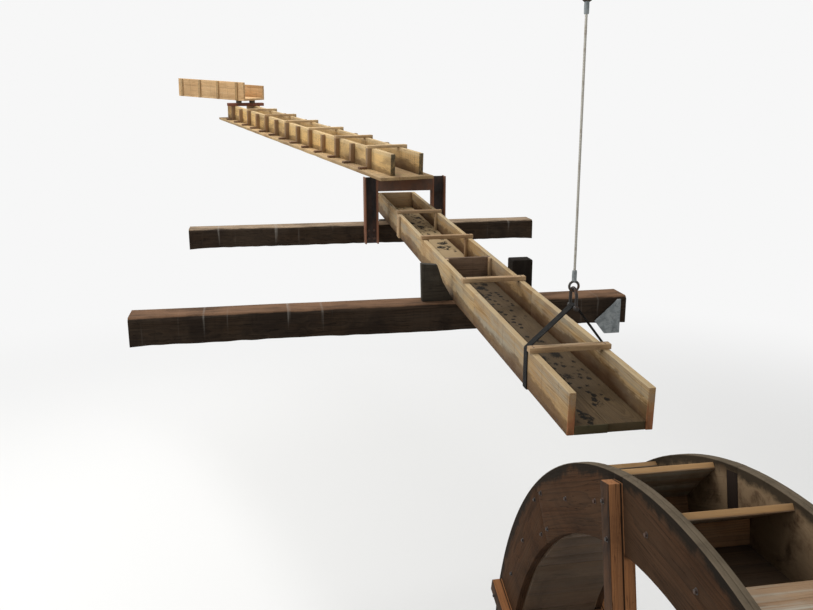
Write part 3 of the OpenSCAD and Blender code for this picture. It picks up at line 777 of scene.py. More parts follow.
def wet_foot(made, colour, height, matrix, inside, floor, height_of_wall, reach, ragged, tint, share,
             mouth, mouth_at=0.0, mouth_top=0.26):
    """A stain that creeps up a launder's walls from its floor: full at the floor's height, gone at the reach
    above it, over a ragged edge. Outside, it starts from the wall's foot. The top edges get painted light,
    and the ends at the mouth take a colour of their own up to about the height that is given."""
    n = made.n
    own, (x, y, z) = own_place(made, matrix)
    broad = n.less(n.cloud(own, (2.0, 1.6, 4), 3, 0.6), 0.5)
    fine = n.less(n.cloud(own, (6, 9, 30), 4, 0.65), 0.5)
    uneven = n.plus(n.times(broad, ragged), n.times(fine, 0.09))
    within = n.step(n.size(x), inside + 0.004, inside + 0.010, 1.0, 0.0)
    start = n.times(within, floor)
    level = n.less(n.less(z, start), uneven)
    edge = n.step(level, reach * 0.70, reach, 1.0, 0.0)
    deep = n.step(level, 0.0, reach * 0.6, 1.0, 0.70)
    wet = n.times(edge, deep, n.step(within, 0.0, 1.0, share * 0.9, share))
    colour = n.over(colour, tint, wet)
    # Painted light: the walls' top edges are made paler.
    crown = n.step(z, height_of_wall - 0.004, height_of_wall - 0.001, 0.0, 0.45)
    colour = n.over(colour, (0.56, 0.43, 0.25), crown)
    # The ends at the mouth: a stain on the lower launder, painted shade on the upper launder's front ends.
    blot = n.cloud(own, (40, 40, 16), 4, 0.7)
    low = n.step(n.plus(z, n.times(blot, 0.12)), mouth_top - 0.14, mouth_top, 0.90, 0.15)
    cut = n.times(n.step(y, mouth_at + 0.002, mouth_at + 0.008, 1.0, 0.0),
                 n.step(blot, 0.35, 0.60, 0.45, 1.0))
    colour = n.over(colour, mouth, cut, low)
    return colour, height


def floor_litter(made, colour, height, matrix, silt, lit_sand):
    """Dirt that lies on a launder's floor: silt, clusters of curled dark leaf bits and grit along the
    middle, and slime over the ends of the boards at the mouth. Upstream lies paler sand, partly painted
    light."""
    n = made.n
    own, (x, y, _) = own_place(made, matrix)
    cloud = n.cloud(own, (2.2, 1.1, 2), 5, 0.65, 0.5)
    # Upstream of the stop board: paler sand, partly the sand's own colour and partly painted light over the
    # shade there.
    upstream = n.step(n.plus(y, n.times(cloud, 0.6)), STOP_AT + 0.1, STOP_AT + 0.6, 0.0, 0.85)
    covered = n.most(n.times(n.step(cloud, 0.35, 0.62), 0.8), upstream)
    colour = n.over(colour, n.mix(upstream, silt, lit_sand), covered)
    where = n.step(n.cloud(own, (3.2, 1.5, 1), 3, 0.6), 0.42, 0.52)
    middle = n.step(n.size(x), WALL_INSIDE - 0.09, WALL_INSIDE - 0.02, 1.0, 0.25)
    where = n.times(where, middle)
    warp = n.times(n.less(n.noise(own, 85.0, 4, 0.7), 0.5), 0.95)
    for size, inner, outer, most in ((9.5, 0.14, 0.36, 0.36), (26.0, 0.0, 0.42, 0.44)):
        bits = n.add("ShaderNodeTexVoronoi", {"feature": "F1"}, Scale=size, Randomness=1.0,
                     Vector=n.stretched(own, (1.0, 0.62, 0.4)))
        few = n.step(n.split(bits.outputs["Color"])[1], most, most + 0.02)
        curl = n.plus(bits.outputs["Distance"], warp)
        leaf = n.times(n.step(curl, outer - 0.08, outer, 1.0, 0.0), few)
        leaf = n.times(leaf, n.step(curl, inner - 0.08, inner, 0.35, 1.0))
        leaf = n.step(n.times(leaf, where), 0.22, 0.42)
        colour = n.over(colour, (0.010, 0.008, 0.005), leaf, 0.97)
        height = n.plus(height, n.times(leaf, 1.2))
    mouth = n.step(y, 0.002, 0.010, 0.8, 0.0)
    return n.over(colour, (0.070, 0.062, 0.034), mouth), height


def wheel_place(made):
    """How far a point lies from the wheel's middle plane, and from its axle."""
    n = made.n
    x, y, z = n.split(n.stretched(made.place, (1, 1, 1), (-LAUNDER_X, -AXLE_Y, -AXLE_Z)))
    far = n.reach(y, z)
    return n.size(x), far


def rim_light_and_band(made, colour, height, lit_edge_tint, lit_inner_tint):
    """A paler outer edge all round and paler patches on the side towards the buckets, both painted light,
    and a ragged black band inside the edge."""
    n = made.n
    aside, far = wheel_place(made)
    cloud = n.noise(made.place, 7.0, 5, 0.65, 0.4)
    # Painted light: paler patches on the inner face.
    inner = n.times(n.step(aside, INSIDE + 0.002, INSIDE + 0.006, 1.0, 0.0), n.step(cloud, 0.25, 0.55))
    colour = n.over(colour, lit_inner_tint, inner, 0.85)
    ragged = n.plus(far, n.times(n.less(cloud, 0.5), 0.16))
    colour = n.over(colour, (0.010, 0.009, 0.007), n.step(ragged, RIM - 0.060, RIM - 0.020, 0.0, 0.85))
    # Painted light: a paler band along the rim's outer edge, where the light falls.
    edge = n.times(n.step(far, RIM - 0.005, RIM - 0.002), n.step(cloud, 0.25, 0.6, 0.5, 0.95))
    return n.over(colour, lit_edge_tint, edge), height


def arm_shade_and_joint(made, colour, height, tint):
    """Nearly black on the part of an arm that lies between the felloes, painted shade in patches on its
    outer face, and a dark joint between its two boards."""
    n = made.n
    aside, far = wheel_place(made)
    wet = n.times(n.step(aside, WHEEL_W / 2 - 0.004, WHEEL_W / 2, 0.98, 0.0),
                 n.step(far, SHROUD_IN - 0.03, SHROUD_IN))
    patchy = n.cloud(made.place, (6, 6, 2.2), 4, 0.65, 0.4)
    # Painted shade, in patches, on the arm's outer face.
    outer_face_shade = n.times(n.step(aside, WHEEL_W / 2 + ARM_PROUD - 0.004, WHEEL_W / 2 + ARM_PROUD - 0.001),
                     n.step(patchy, 0.35, 0.60, 0.97, 0.82))
    between = n.size(n.less(aside, INSIDE + (ARM_PROUD + SHROUD_T) / 2))
    joint = n.step(between, 0.002, 0.006, 0.9, 0.0)
    return n.over(colour, tint, n.most(wet, outer_face_shade, joint)), height


def lit_rim_edge(made, colour, height, tint, band):
    """Painted light on the cut edges out at the rim of the wheel, paler than the rest: distance from the
    axle beyond a limit.
    """
    n = made.n
    _, far = wheel_place(made)
    # Painted light on the boards' outermost edges.
    edge = n.step(far, band, band + 0.004)
    return n.over(colour, tint, edge, 0.8), height


def lit_top_and_runs(made, colour, height, level, tint):
    """A top face on a beam that ends at the given height, made paler as painted light, with pale runs down
    its front.
    """
    n = made.n
    x, _, z = n.split(made.place)
    below = n.less(z, level)
    patch = n.cloud(made.place, (2.6, 9, 9), 5, 0.65)
    wander = n.times(n.less(patch, 0.5), 0.022)
    # Painted light: the beam's top face is made paler, as if lit from above.
    up = n.step(n.plus(below, wander), -0.014, -0.004)
    up = n.times(up, n.step(patch, 0.30, 0.62, 0.315, 0.9))
    colour = n.over(colour, tint, up)
    drip = n.noise(n.join(n.times(x, 17.0), n.times(z, 0.8), 0.0), 1.0, 2, 0.5)
    fade = n.times(n.step(below, -0.20, -0.02, 0.15, 1.0), n.noise(made.place, 14.0, 3))
    pale = n.times(n.step(drip, 0.62, 0.70), fade)
    return n.over(colour, (0.38, 0.35, 0.31), pale, 0.55), height


def moss(made, colour, height, share):
    """Green growth that keeps to damp patches."""
    n = made.n
    soft = n.cloud(made.place, (2.6, 2.6, 2.6), 5, 0.65, 0.3)
    tuft = n.noise(made.place, 60.0, 4, 0.7)
    green = n.step(n.plus(soft, n.times(tuft, 0.25)), 0.72, 0.84)
    shade = n.mix(tuft, (0.10, 0.13, 0.02), (0.26, 0.27, 0.06))
    return n.over(colour, shade, green, share), n.plus(height, green)


def post_shade_and_rust(made, colour, shade_colour, toes):
    """Painted shade, nearly black, in the hollows between the portal posts' flanges, and redder rust on the
    flanges' outer faces, on the head and on its upper flange."""
    n = made.n
    x, _, z = n.split(made.place)
    off = n.size(n.less(x, PORTAL_X))
    from_web = n.size(n.less(off, (PORTAL_W - SECTION_W) / 2))
    toe = SECTION_W / 2 - FLANGE_T
    # Painted shade, nearly black, in the hollows between the flanges.
    hollow = n.step(from_web, toe - 0.006, toe + 0.001, 1.0, 0.0)
    cloud = n.cloud(made.place, (9, 9, 4), 4, 0.65)
    hollow_shade = n.times(hollow, n.step(cloud, 0.25, 0.65, 0.97, 0.78))
    head = n.step(off, PORTAL_W / 2 - SECTION_W - 0.002, PORTAL_W / 2 - SECTION_W, 0.45, 1.0)
    head = n.most(head, n.step(z, PORTAL_TOP - FLANGE_T - 0.002, PORTAL_TOP - FLANGE_T, 0.0, 0.9))
    bare = n.times(head, n.step(cloud, 0.30, 0.60, 0.45, 0.90))
    return n.mix(hollow_shade, n.over(colour, toes, bare), shade_colour)


def steel(name, base, rusty, rust_from, rust_to, metal=0.0, rough=0.7, size=6.0, depth=0.0006,
          dark=(0.05, 0.03, 0.02), extra=None):
    """Metal under rust: a base colour, cloudy rust over it, darker pits, and what else marks this piece."""
    made = Finish(name, Roughness=rough, Metallic=metal)
    n = made.n
    marks = made.placed(EFFECTS["rust"], Place=made.place, Size=size)
    cover = n.step(marks["Patches"], rust_from, rust_to)
    colour = n.mix(cover, base, rusty)
    colour = n.over(colour, dark, n.step(marks["Pits"], 0.55, 0.75, 0.0, 0.55))
    if extra:
        mark, *given = extra
        colour = mark(made, colour, *given)
    shine = n.times(n.less(1.0, cover), metal)
    made.feed(colour, n.step(cover, 0.0, 1.0, rough, 0.88), marks["Pits"], depth, shine if metal else None)


def woven(name, dark, light):
    """A woven band: ribs across and threads along, from the piece's own lengths round and across."""
    made = Finish(name, Roughness=0.85, Specular_IOR_Level=0.2)
    n = made.n
    x, y, _ = n.split(made.local)
    along = n.math("SINE", n.times(x, TAU / 0.0030))
    across = n.math("SINE", n.times(y, TAU / 0.0036))
    weave = n.times(along, across)
    dust = n.noise(made.place, 30.0, 4, 0.6)
    colour = n.mix(n.step(weave, -0.6, 0.9, 0.1, 0.75), dark, light)
    colour = n.over(colour, (0.09, 0.08, 0.065), n.step(dust, 0.5, 0.8, 0.0, 0.25))
    made.feed(colour, None, weave, 0.0006)


def floor_finish(tint):
    """A matt floor that turns into the backdrop's own brightness far from the object, for the camera."""
    made = bpy.data.materials.new("floor")
    made.use_nodes = True
    surface = made.node_tree.nodes["Principled BSDF"]
    surface.inputs["Base Color"].default_value = (*tint, 1)
    surface.inputs["Roughness"].default_value = 0.95
    surface.inputs["Specular IOR Level"].default_value = 0.1
    n = Nodes(made.node_tree)
    place = made.node_tree.nodes.new("ShaderNodeTexCoord").outputs["Object"]
    x, y, _ = n.split(n.stretched(place, (1, 1, 1), (-LAUNDER_X, -1.0, 0)))
    far = n.reach(x, y)
    seen = n.add("ShaderNodeLightPath").outputs["Is Camera Ray"]
    share = n.times(seen, n.step(far, 6.0, 17.0))
    glow = n.add("ShaderNodeEmission", None, Color=(1, 1, 1, 1), Strength=BACKDROP)
    mixed = n.add("ShaderNodeMixShader", None, _0=share)
    link = made.node_tree.links.new
    link(surface.outputs[0], mixed.inputs[1])
    link(glow.outputs[0], mixed.inputs[2])
    link(mixed.outputs[0], made.node_tree.nodes["Material Output"].inputs["Surface"])
    return made


# Values a user may change


def tint(name, description, default):
    """A colour that a user may change."""
    return FloatVectorProperty(
        name=name, description=description, default=default, subtype="COLOR", min=0, max=1)


class TimberValues(PropertyGroup):
    """Sizes and colours of the boards and beams."""

    arris: FloatProperty(
        name="Arris", description="How far a board's edges are eased", default=0.0025,
        min=0.0005, max=0.01, unit="LENGTH")
    bow: FloatProperty(
        name="Bow", description="How far a long board may bow", default=0.002, min=0, max=0.01,
        unit="LENGTH")
    board: tint("Board", "Colour of the launder boards", (0.475, 0.335, 0.168))
    # The upper launder's and the trough's board colours are made brighter as painted sunlight.
    upper: tint("Upper board", "Colour of the upper launder's boards", (0.88, 0.585, 0.225))
    trough: tint("Trough board", "Colour of the head trough's boards", (0.80, 0.54, 0.29))
    beam: tint("Beam", "Colour of the old beams", (0.046, 0.029, 0.018))
    # Painted light: the paler colour of the lower beam's lit top face.
    wane: tint("Wane", "Colour of a beam's washed top", (0.21, 0.118, 0.068))


class WheelValues(PropertyGroup):
    """Sizes and colours of the wheel."""

    shroud: tint("Shroud", "Colour of the shroud planks", (0.066, 0.031, 0.015))
    bucket: tint("Bucket", "Colour of the bucket boards", (0.36, 0.250, 0.150))
    arm: tint("Arm", "Colour of the arms", (0.43, 0.178, 0.064))
    arm_bolts: IntProperty(
        name="Arm bolts", description="Bolts through each arm at the hub", default=2, min=1, max=4)


class SteelValues(PropertyGroup):
    """Colours of the metal pieces."""

    rust: tint("Rust", "Colour of rusted steel", (0.105, 0.047, 0.022))
    zinc: tint("Zinc", "Colour of zinc-coated steel", (0.19, 0.21, 0.215))
    iron: tint("Iron", "Colour of the bearings and hubs", (0.060, 0.060, 0.062))


class StageValues(PropertyGroup):
    """Floor, light and camera."""

    floor: tint("Floor", "Colour of the floor", (0.80, 0.80, 0.79))
    sky: FloatProperty(name="Sky", description="Strength of the light from all round", default=0.56, min=0,
                       max=3)
    soft_box: FloatProperty(
        name="Soft box", description="Power of the large lamp overhead", default=1900, min=0, max=9000,
        unit="POWER")
    lens: FloatProperty(
        name="Lens", description="Focal length on a 36 mm sensor", default=37.83, min=15, max=120,
        unit="CAMERA")


def values():
    """The four groups of values kept in the scene."""
    scene = bpy.context.scene
    return scene.wheel_timber, scene.wheel_wheel, scene.wheel_steel, scene.wheel_stage


# Finishes of this object


def make_finishes():
    """Builds the shared effects once and every finish from them."""
    wood, wheel, metal, _ = values()
    EFFECTS.update(grain=sawn_grain(), weather=weather(), rust=rust())
    tan_dark = (0.220, 0.120, 0.042)
    grey = (0.255, 0.240, 0.190)
    brown = (0.20, 0.100, 0.042)
    timber("launder_board", wood.board, tan_dark, grey, brown, greyed=0.75, stained=0.40, runs=0.30,
           specks=0.35, shine=0.10,
           extra=(wet_foot, ON_LOWER, WALL_INSIDE, FLOOR_T, LAUNDER_H, 0.105, 0.15,
                          (0.066, 0.030, 0.011), 0.97, (0.36, 0.150, 0.070)))
    # The paler upstream sand on this floor is partly painted light.
    timber("launder_floor", (0.165, 0.110, 0.055), (0.085, 0.055, 0.028), (0.12, 0.090, 0.055),
           (0.06, 0.038, 0.020), shine=0.08, greyed=0.45, stained=0.5, runs=0.0, specks=0.6,
           extra=(floor_litter, ON_LOWER, (0.080, 0.055, 0.031), (0.46, 0.335, 0.185)))
    timber("tie_board", (0.52, 0.36, 0.20), (0.27, 0.16, 0.075), grey, brown, greyed=0.30, stained=0.3)
    # The upper launder's ties, boards and floor have brighter colours that stand in for sunlight: painted
    # light.
    timber("upper_tie", (0.82, 0.60, 0.33), (0.48, 0.31, 0.15), grey, brown, greyed=0.20, stained=0.35)
    # On the upper launder the mouth colour is painted shade, nearly black, over the walls' whole front ends.
    timber("upper_board", wood.upper, (0.36, 0.21, 0.085), (0.36, 0.30, 0.20), (0.11, 0.060, 0.026),
           greyed=0.30, stained=0.60, runs=0.45, specks=0.55, splits=0.8,
           extra=(wet_foot, ON_UPPER, UPPER_W / 2 - UPPER_WALL, UPPER_FLOOR, UPPER_H, 0.10, 0.20,
                          (0.090, 0.050, 0.024), 0.85, (0.035, 0.032, 0.020), UPPER_WALL_BACK, 9.0))
    timber("upper_floor", (0.60, 0.41, 0.20), (0.24, 0.145, 0.062), (0.27, 0.20, 0.11), (0.15, 0.075, 0.035),
           greyed=0.5, stained=0.55, runs=0.0, specks=0.6, extra=(moss, 0.55))
    timber("post_wood", (0.40, 0.235, 0.105), (0.17, 0.095, 0.042), (0.26, 0.22, 0.16), brown, greyed=0.4,
           stained=0.5, runs=0.4)
    timber("cleat_wood", (0.24, 0.125, 0.062), (0.12, 0.062, 0.032), (0.15, 0.12, 0.085),
           (0.06, 0.035, 0.02), greyed=0.35, stained=0.4, runs=0.0)
    # The trough's boards are brightened the same way: painted sunlight.
    timber("trough_board", wood.trough, (0.42, 0.23, 0.085), (0.45, 0.36, 0.22), (0.26, 0.13, 0.05),
           greyed=0.20, stained=0.25, runs=0.35, specks=0.2)
    timber("trough_batten", (0.56, 0.38, 0.19), (0.34, 0.20, 0.08), (0.38, 0.31, 0.20), brown, greyed=0.3,
           stained=0.3, runs=0.3)
    timber("grey_board", (0.14, 0.110, 0.078), (0.07, 0.053, 0.037), (0.14, 0.130, 0.105),
           (0.05, 0.037, 0.025), greyed=0.5, stained=0.5, runs=0.4, splits=1.0, rough=0.85)
    timber("knee_board", (0.060, 0.047, 0.031), (0.030, 0.023, 0.016), (0.078, 0.070, 0.052),
           (0.022, 0.017, 0.012), greyed=0.4, stained=0.5, runs=0.5, splits=1.0, rough=0.86)
    timber("stop_board", (0.21, 0.135, 0.085), (0.105, 0.064, 0.040), (0.17, 0.14, 0.105),
           (0.06, 0.038, 0.024), greyed=0.35, stained=0.5, runs=0.4, splits=0.8, rough=0.84)
    timber("dark_post", (0.026, 0.019, 0.014), (0.012, 0.009, 0.007), (0.036, 0.032, 0.026),
           (0.008, 0.007, 0.006), shine=0.06, greyed=0.3, stained=0.5, splits=1.0, rough=0.88)
    # Each beam's top face is painted paler in its own colour, as painted light.
    for name, level, lit_top_tint in (("lower_beam", BEAM_H / 2, wood.wane),
                                ("upper_beam", UPPER_TOP, (0.38, 0.28, 0.19))):
        timber(name, wood.beam, (0.018, 0.012, 0.008), (0.060, 0.046, 0.034), (0.014, 0.010, 0.008),
               greyed=0.30, stained=0.60, runs=0.2, splits=0.8, rough=0.88, ring=0.009, shine=0.06,
               extra=(lit_top_and_runs, level, lit_top_tint))
    # The shroud planks get painted light on the rim's edge and on their inner faces.
    timber("shroud_plank", wheel.shroud, (0.032, 0.016, 0.008), (0.056, 0.038, 0.024),
           (0.018, 0.011, 0.007), greyed=0.30, stained=0.55, runs=0.0, splits=0.6, rough=0.85, ring=0.008,
           shine=0.04, extra=(rim_light_and_band, (0.130, 0.102, 0.070), (0.215, 0.150, 0.088)))
    # The bucket boards' edges at the rim are painted light.
    timber("bucket_board", wheel.bucket, (0.21, 0.110, 0.050), (0.38, 0.365, 0.305), (0.095, 0.055, 0.030),
           greyed=0.90, stained=0.35, runs=0.0, rough=0.8,
           extra=(lit_rim_edge, (0.57, 0.335, 0.145), RIM - RIM_SHORT - 0.022))
    timber("riser_board", (0.38, 0.20, 0.090), (0.20, 0.100, 0.045), (0.19, 0.155, 0.115),
           (0.085, 0.048, 0.026), greyed=0.35, stained=0.45, runs=0.0, rough=0.8)
    timber("sole_board", (0.135, 0.084, 0.048), (0.070, 0.043, 0.025), (0.090, 0.074, 0.055),
           (0.035, 0.024, 0.016), greyed=0.4, stained=0.5, runs=0.0, rough=0.82)
    # The arms get painted shade on their outer faces.
    timber("arm_board", wheel.arm, (0.20, 0.090, 0.040), (0.17, 0.125, 0.085), (0.08, 0.042, 0.024),
           greyed=0.25, stained=0.40, runs=0.0, splits=0.8, shine=0.06,
           extra=(arm_shade_and_joint, (0.013, 0.010, 0.008)))
    timber("trestle_timber", (0.13, 0.088, 0.056), (0.060, 0.040, 0.026), (0.15, 0.13, 0.105),
           (0.04, 0.03, 0.02), greyed=0.45, stained=0.4, splits=1.0, rough=0.86, ring=0.009)
    # The first colour is the painted shade in the posts' hollows, the second the rust.
    steel("portal_steel", (0.034, 0.022, 0.013), metal.rust, 0.42, 0.66, size=5.0,
          extra=(post_shade_and_rust, (0.004, 0.004, 0.004), (0.19, 0.072, 0.033)))
    steel("bearer_steel", (0.10, 0.036, 0.022), (0.20, 0.070, 0.036), 0.35, 0.6, size=9.0)
    steel("bolt_iron", (0.060, 0.050, 0.045), (0.13, 0.058, 0.032), 0.45, 0.6, metal=0.4, rough=0.6,
          size=30.0)
    steel("wheel_bolt", (0.030, 0.026, 0.023), (0.065, 0.034, 0.022), 0.45, 0.6, metal=0.3, rough=0.6,
          size=30.0)
    steel("zinc_plate", metal.zinc, (0.29, 0.315, 0.32), 0.42, 0.58, metal=0.55, rough=0.5, size=24.0,
          depth=0.0002, dark=(0.12, 0.125, 0.125))
    steel("cable_wire", (0.44, 0.42, 0.37), (0.27, 0.22, 0.16), 0.50, 0.68, metal=0.8, rough=0.42, size=18.0,
          depth=0.0002, dark=(0.15, 0.13, 0.11))
    steel("eye_wire", (0.060, 0.056, 0.050), (0.075, 0.045, 0.028), 0.45, 0.62, metal=0.5, rough=0.55,
          size=18.0, depth=0.0002)
    steel("cast_iron", metal.iron, (0.13, 0.070, 0.045), 0.52, 0.70, metal=0.35, rough=0.6, size=7.0)
    steel("axle_steel", (0.30, 0.29, 0.28), (0.16, 0.085, 0.050), 0.46, 0.66, metal=0.85, rough=0.38,
          size=8.0)
    steel("shackle_iron", (0.035, 0.032, 0.030), (0.070, 0.038, 0.024), 0.48, 0.66, metal=0.6, rough=0.5,
          size=30.0, depth=0.0003)
    woven("sling_thread", (0.008, 0.008, 0.007), (0.022, 0.021, 0.018))
    woven("sling_web", (0.003, 0.003, 0.003), (0.010, 0.0095, 0.008))


# Pieces


def hewn_beam(low_x, high_x, middle_y, top, seed):
    """A hewn beam: a four-sided outline whose top arrises are lost to wane, carried along X, each corner
    wandering with slow waves and the faces chipped by the axe. Its top is cut down to the plane
    z = seat + y tan(fall) where the launder lies."""
    count = int((high_x - low_x) / 0.025)
    bed = LAUNDER_X - low_x + np.outer([-1, 1], LAUNDER_W / 2 + np.array([0.0005, 0.0015])).reshape(-1)
    x = np.sort(np.concatenate([np.linspace(0, high_x - low_x, count), bed]))
    hold = np.clip(np.minimum(x, x[-1] - x) / 0.15, 0, 1)

    def wander(size, waves, key):
        return ripple(x[:, None], [waves], seed + key) * size * hold

    half, tall = BEAM_D / 2, BEAM_H
    front = 0.018 + 0.008 * (1 + ripple(x[:, None], [1.1], seed + 20)) * hold
    fall = 0.008 + 0.005 * (1 + ripple(x[:, None], [1.7], seed + 21)) * hold
    zero = np.zeros_like(x)
    corners = np.stack([
        np.stack([-half + wander(0.004, 1.3, 1) + 0.004 * hold,
                  -tall + 0.006 * hold + wander(0.0035, 0.5, 2)], -1),
        np.stack([half - 0.004 * hold + wander(0.003, 1.1, 3),
                  -tall + 0.006 * hold + wander(0.0035, 0.45, 4)], -1),
        np.stack([half + zero, -fall - 0.008], -1),
        np.stack([half - front * 0.5, zero - 0.0005], -1),
        np.stack([-half + front * 1.2, zero - 0.0005], -1),
        np.stack([-half + zero, -fall - 0.012], -1),
    ], axis=1)
    outline = rounded(corners, 0.005, steps=9)
    across = np.broadcast_to(x[:, None], outline.shape[:2])
    chips = ripple(np.stack([across, outline[..., 0], outline[..., 1]], -1), [5, 9, 9], seed + 30)
    under_top = np.clip((-outline[..., 1] - 0.012) / 0.02, 0, 1)
    shaped = drawn_each(outline, (chips + 1) * 0.0022 * under_top * hold[:, None])
    y = middle_y + shaped[..., 0]
    seat = LAUNDER_SEAT + math.tan(FALL) * y - SEAT - top
    bedded = np.abs(across + low_x - LAUNDER_X) < LAUNDER_W / 2 + 0.001
    height = np.where(bedded, np.minimum(shaped[..., 1], seat), shaped[..., 1])
    grid = np.stack([low_x + across, y, top + height], axis=-1)
    local = np.stack([across + seed, shaped[..., 0], shaped[..., 1] + BEAM_H / 2 + 0.012], axis=-1)
    return skin(grid, local, 0.5)


def drawn_each(outline, amount):
    """The outline moved inwards by an amount of its own at every point."""
    inward = drawn(outline, np.full(outline.shape[:-2], 1e-4)) - outline
    return outline + inward / 1e-4 * amount[..., None]


# The camera that the photo was taken with: its place in metres, then degrees to the right of +Y, below
# level and clockwise about its view.
CAMERA_AT = (0.900, -5.990, 1.600)
CAMERA_HEADING, CAMERA_PITCH, CAMERA_ROLL = 9.969, 14.054, 0.173
FLOOR_HALF = 60.0
# Each lamp's name, place, side, share of the soft boxes' power and the point that it is aimed at.
LAMPS = (
    ("overhead_box", (-2.0, 9.0, 12.0), 10.0, 1.0, (2.0, 2.0, 0.0)),
    ("side_box", (-9.0, -3.0, 5.0), 7.0, 0.30, (2.0, 0.0, -1.0)),
)


class WHEEL_OT_stage(Operator):
    """Sets the floor, the lamps and the camera"""

    bl_idname = "wheel.stage"
    bl_label = "Stage"

    def execute(self, context):
        stage = values()[3]
        scene = context.scene
        scene.view_settings.view_transform = "Standard"
        mesh = bpy.data.meshes.new("floor")
        corners = [(LAUNDER_X + x * FLOOR_HALF, y * FLOOR_HALF, GROUND - 0.001)
                   for x, y in ((-1, -1), (1, -1), (1, 1), (-1, 1))]
        mesh.from_pydata(corners, [], [(0, 1, 2, 3)])
        floor = bpy.data.objects.new("floor", mesh)
        scene.collection.objects.link(floor)
        mesh.materials.append(floor_finish(tuple(stage.floor)))
        world = bpy.data.worlds.new("pale_surround")
        world.use_nodes = True
        scene.world = world
        n = Nodes(world.node_tree)
        back = world.node_tree.nodes["Background"]
        back.inputs["Color"].default_value = (1, 1, 1, 1)
        path = n.add("ShaderNodeLightPath").outputs
        seen = n.most(path["Is Camera Ray"], n.times(path["Is Glossy Ray"], 0.5))
        strength = n.add("ShaderNodeMapRange", None, _0=seen, _1=0.0, _2=1.0, _3=stage.sky, _4=BACKDROP)
        world.node_tree.links.new(strength.outputs[0], back.inputs["Strength"])
        for name, place, size, share, aim in LAMPS:
            lamp = bpy.data.lights.new(name, "AREA")
            lamp.energy = stage.soft_box * share
            lamp.size = size
            made = bpy.data.objects.new(name, lamp)
            scene.collection.objects.link(made)
            made.location = place
            made.rotation_euler = (Vector(aim) - Vector(place)).to_track_quat("-Z", "Y").to_euler()
        lens = bpy.data.cameras.new("photo_view")
        lens.sensor_width = 36.0
        lens.lens = stage.lens
        lens.clip_start, lens.clip_end = 0.05, 200
        camera = bpy.data.objects.new("photo_view", lens)
        scene.collection.objects.link(camera)
        camera.matrix_world = (
            Matrix.Translation(CAMERA_AT)
            @ Matrix.Rotation(-math.radians(CAMERA_HEADING), 4, "Z")
            @ Matrix.Rotation(math.pi / 2 - math.radians(CAMERA_PITCH), 4, "X")
            @ Matrix.Rotation(-math.radians(CAMERA_ROLL), 4, "Z")
        )
        scene.camera = camera
        return {"FINISHED"}


class WHEEL_OT_beams(Operator):
    """Makes the two hewn cross beams, their cheeks and the end plate"""

    bl_idname = "wheel.beams"
    bl_label = "Cross beams"

    def execute(self, context):
        piece("lower_beam_timber", [hewn_beam(0, LOWER_BEAM_LEN, 0, BEAM_H / 2, 3)], "lower_beam",
              "old_timber", "lower_beam")
        right = UPPER_BEAM_INSET + UPPER_BEAM_LEN
        piece("upper_beam_timber", [hewn_beam(UPPER_BEAM_INSET, right, BEAM_SPACING, UPPER_TOP, 11)],
              "upper_beam", "old_timber", "upper_beam")
        foot = LAUNDER_X - LAUNDER_W / 2 - SEAT
        base = BEAM_H / 2 + SEAT
        knee = cut_board(rounded(np.add(KNEE, [foot, base]), 0.004, steps=5), "y", -KNEE_T / 2, KNEE_T / 2,
                         IN_PLACE, 21, arris=0.003, step=0.02, grain=0.0)
        piece("knee_board", [knee], "knee_board", "grey_wood", "left_knee")
        side = LAUNDER_X + LAUNDER_W / 2 + SEAT
        wide, deep, tall = CHEEK
        cheek = plank((side, -deep / 2, base), (side + wide, deep / 2, base + tall), "z", 22, arris=0.010,
                      step=0.04)
        piece("cheek_post", [cheek], "dark_post", "old_timber", "right_cheek")
        right = LOWER_BEAM_LEN - PLATE_INSET
        top = BEAM_H / 2 - 0.022
        outline = [[right, top], [right - 0.024, top], [right - 0.200, -BEAM_H * 0.38],
                   [right - 0.120, PLATE_LOW], [right, PLATE_LOW]]
        face = -BEAM_D / 2 - PLATE_T - SEAT
        plate = cut_board(rounded(outline, 0.004, steps=4), "y", face, face + PLATE_T, IN_PLACE, 23,
                          arris=0.001)
        piece("beam_plate", [plate], "zinc_plate", "zinc", "beam_end_plate")
        bolts = [bolt((right - x, face, z), (0, -1, 0), *PLATE_BOLT, seed=k)
                 for k, (x, z) in enumerate(PLATE_BOLTS)]
        piece("beam_plate_bolts", bolts, "zinc_plate", "iron")
        return {"FINISHED"}


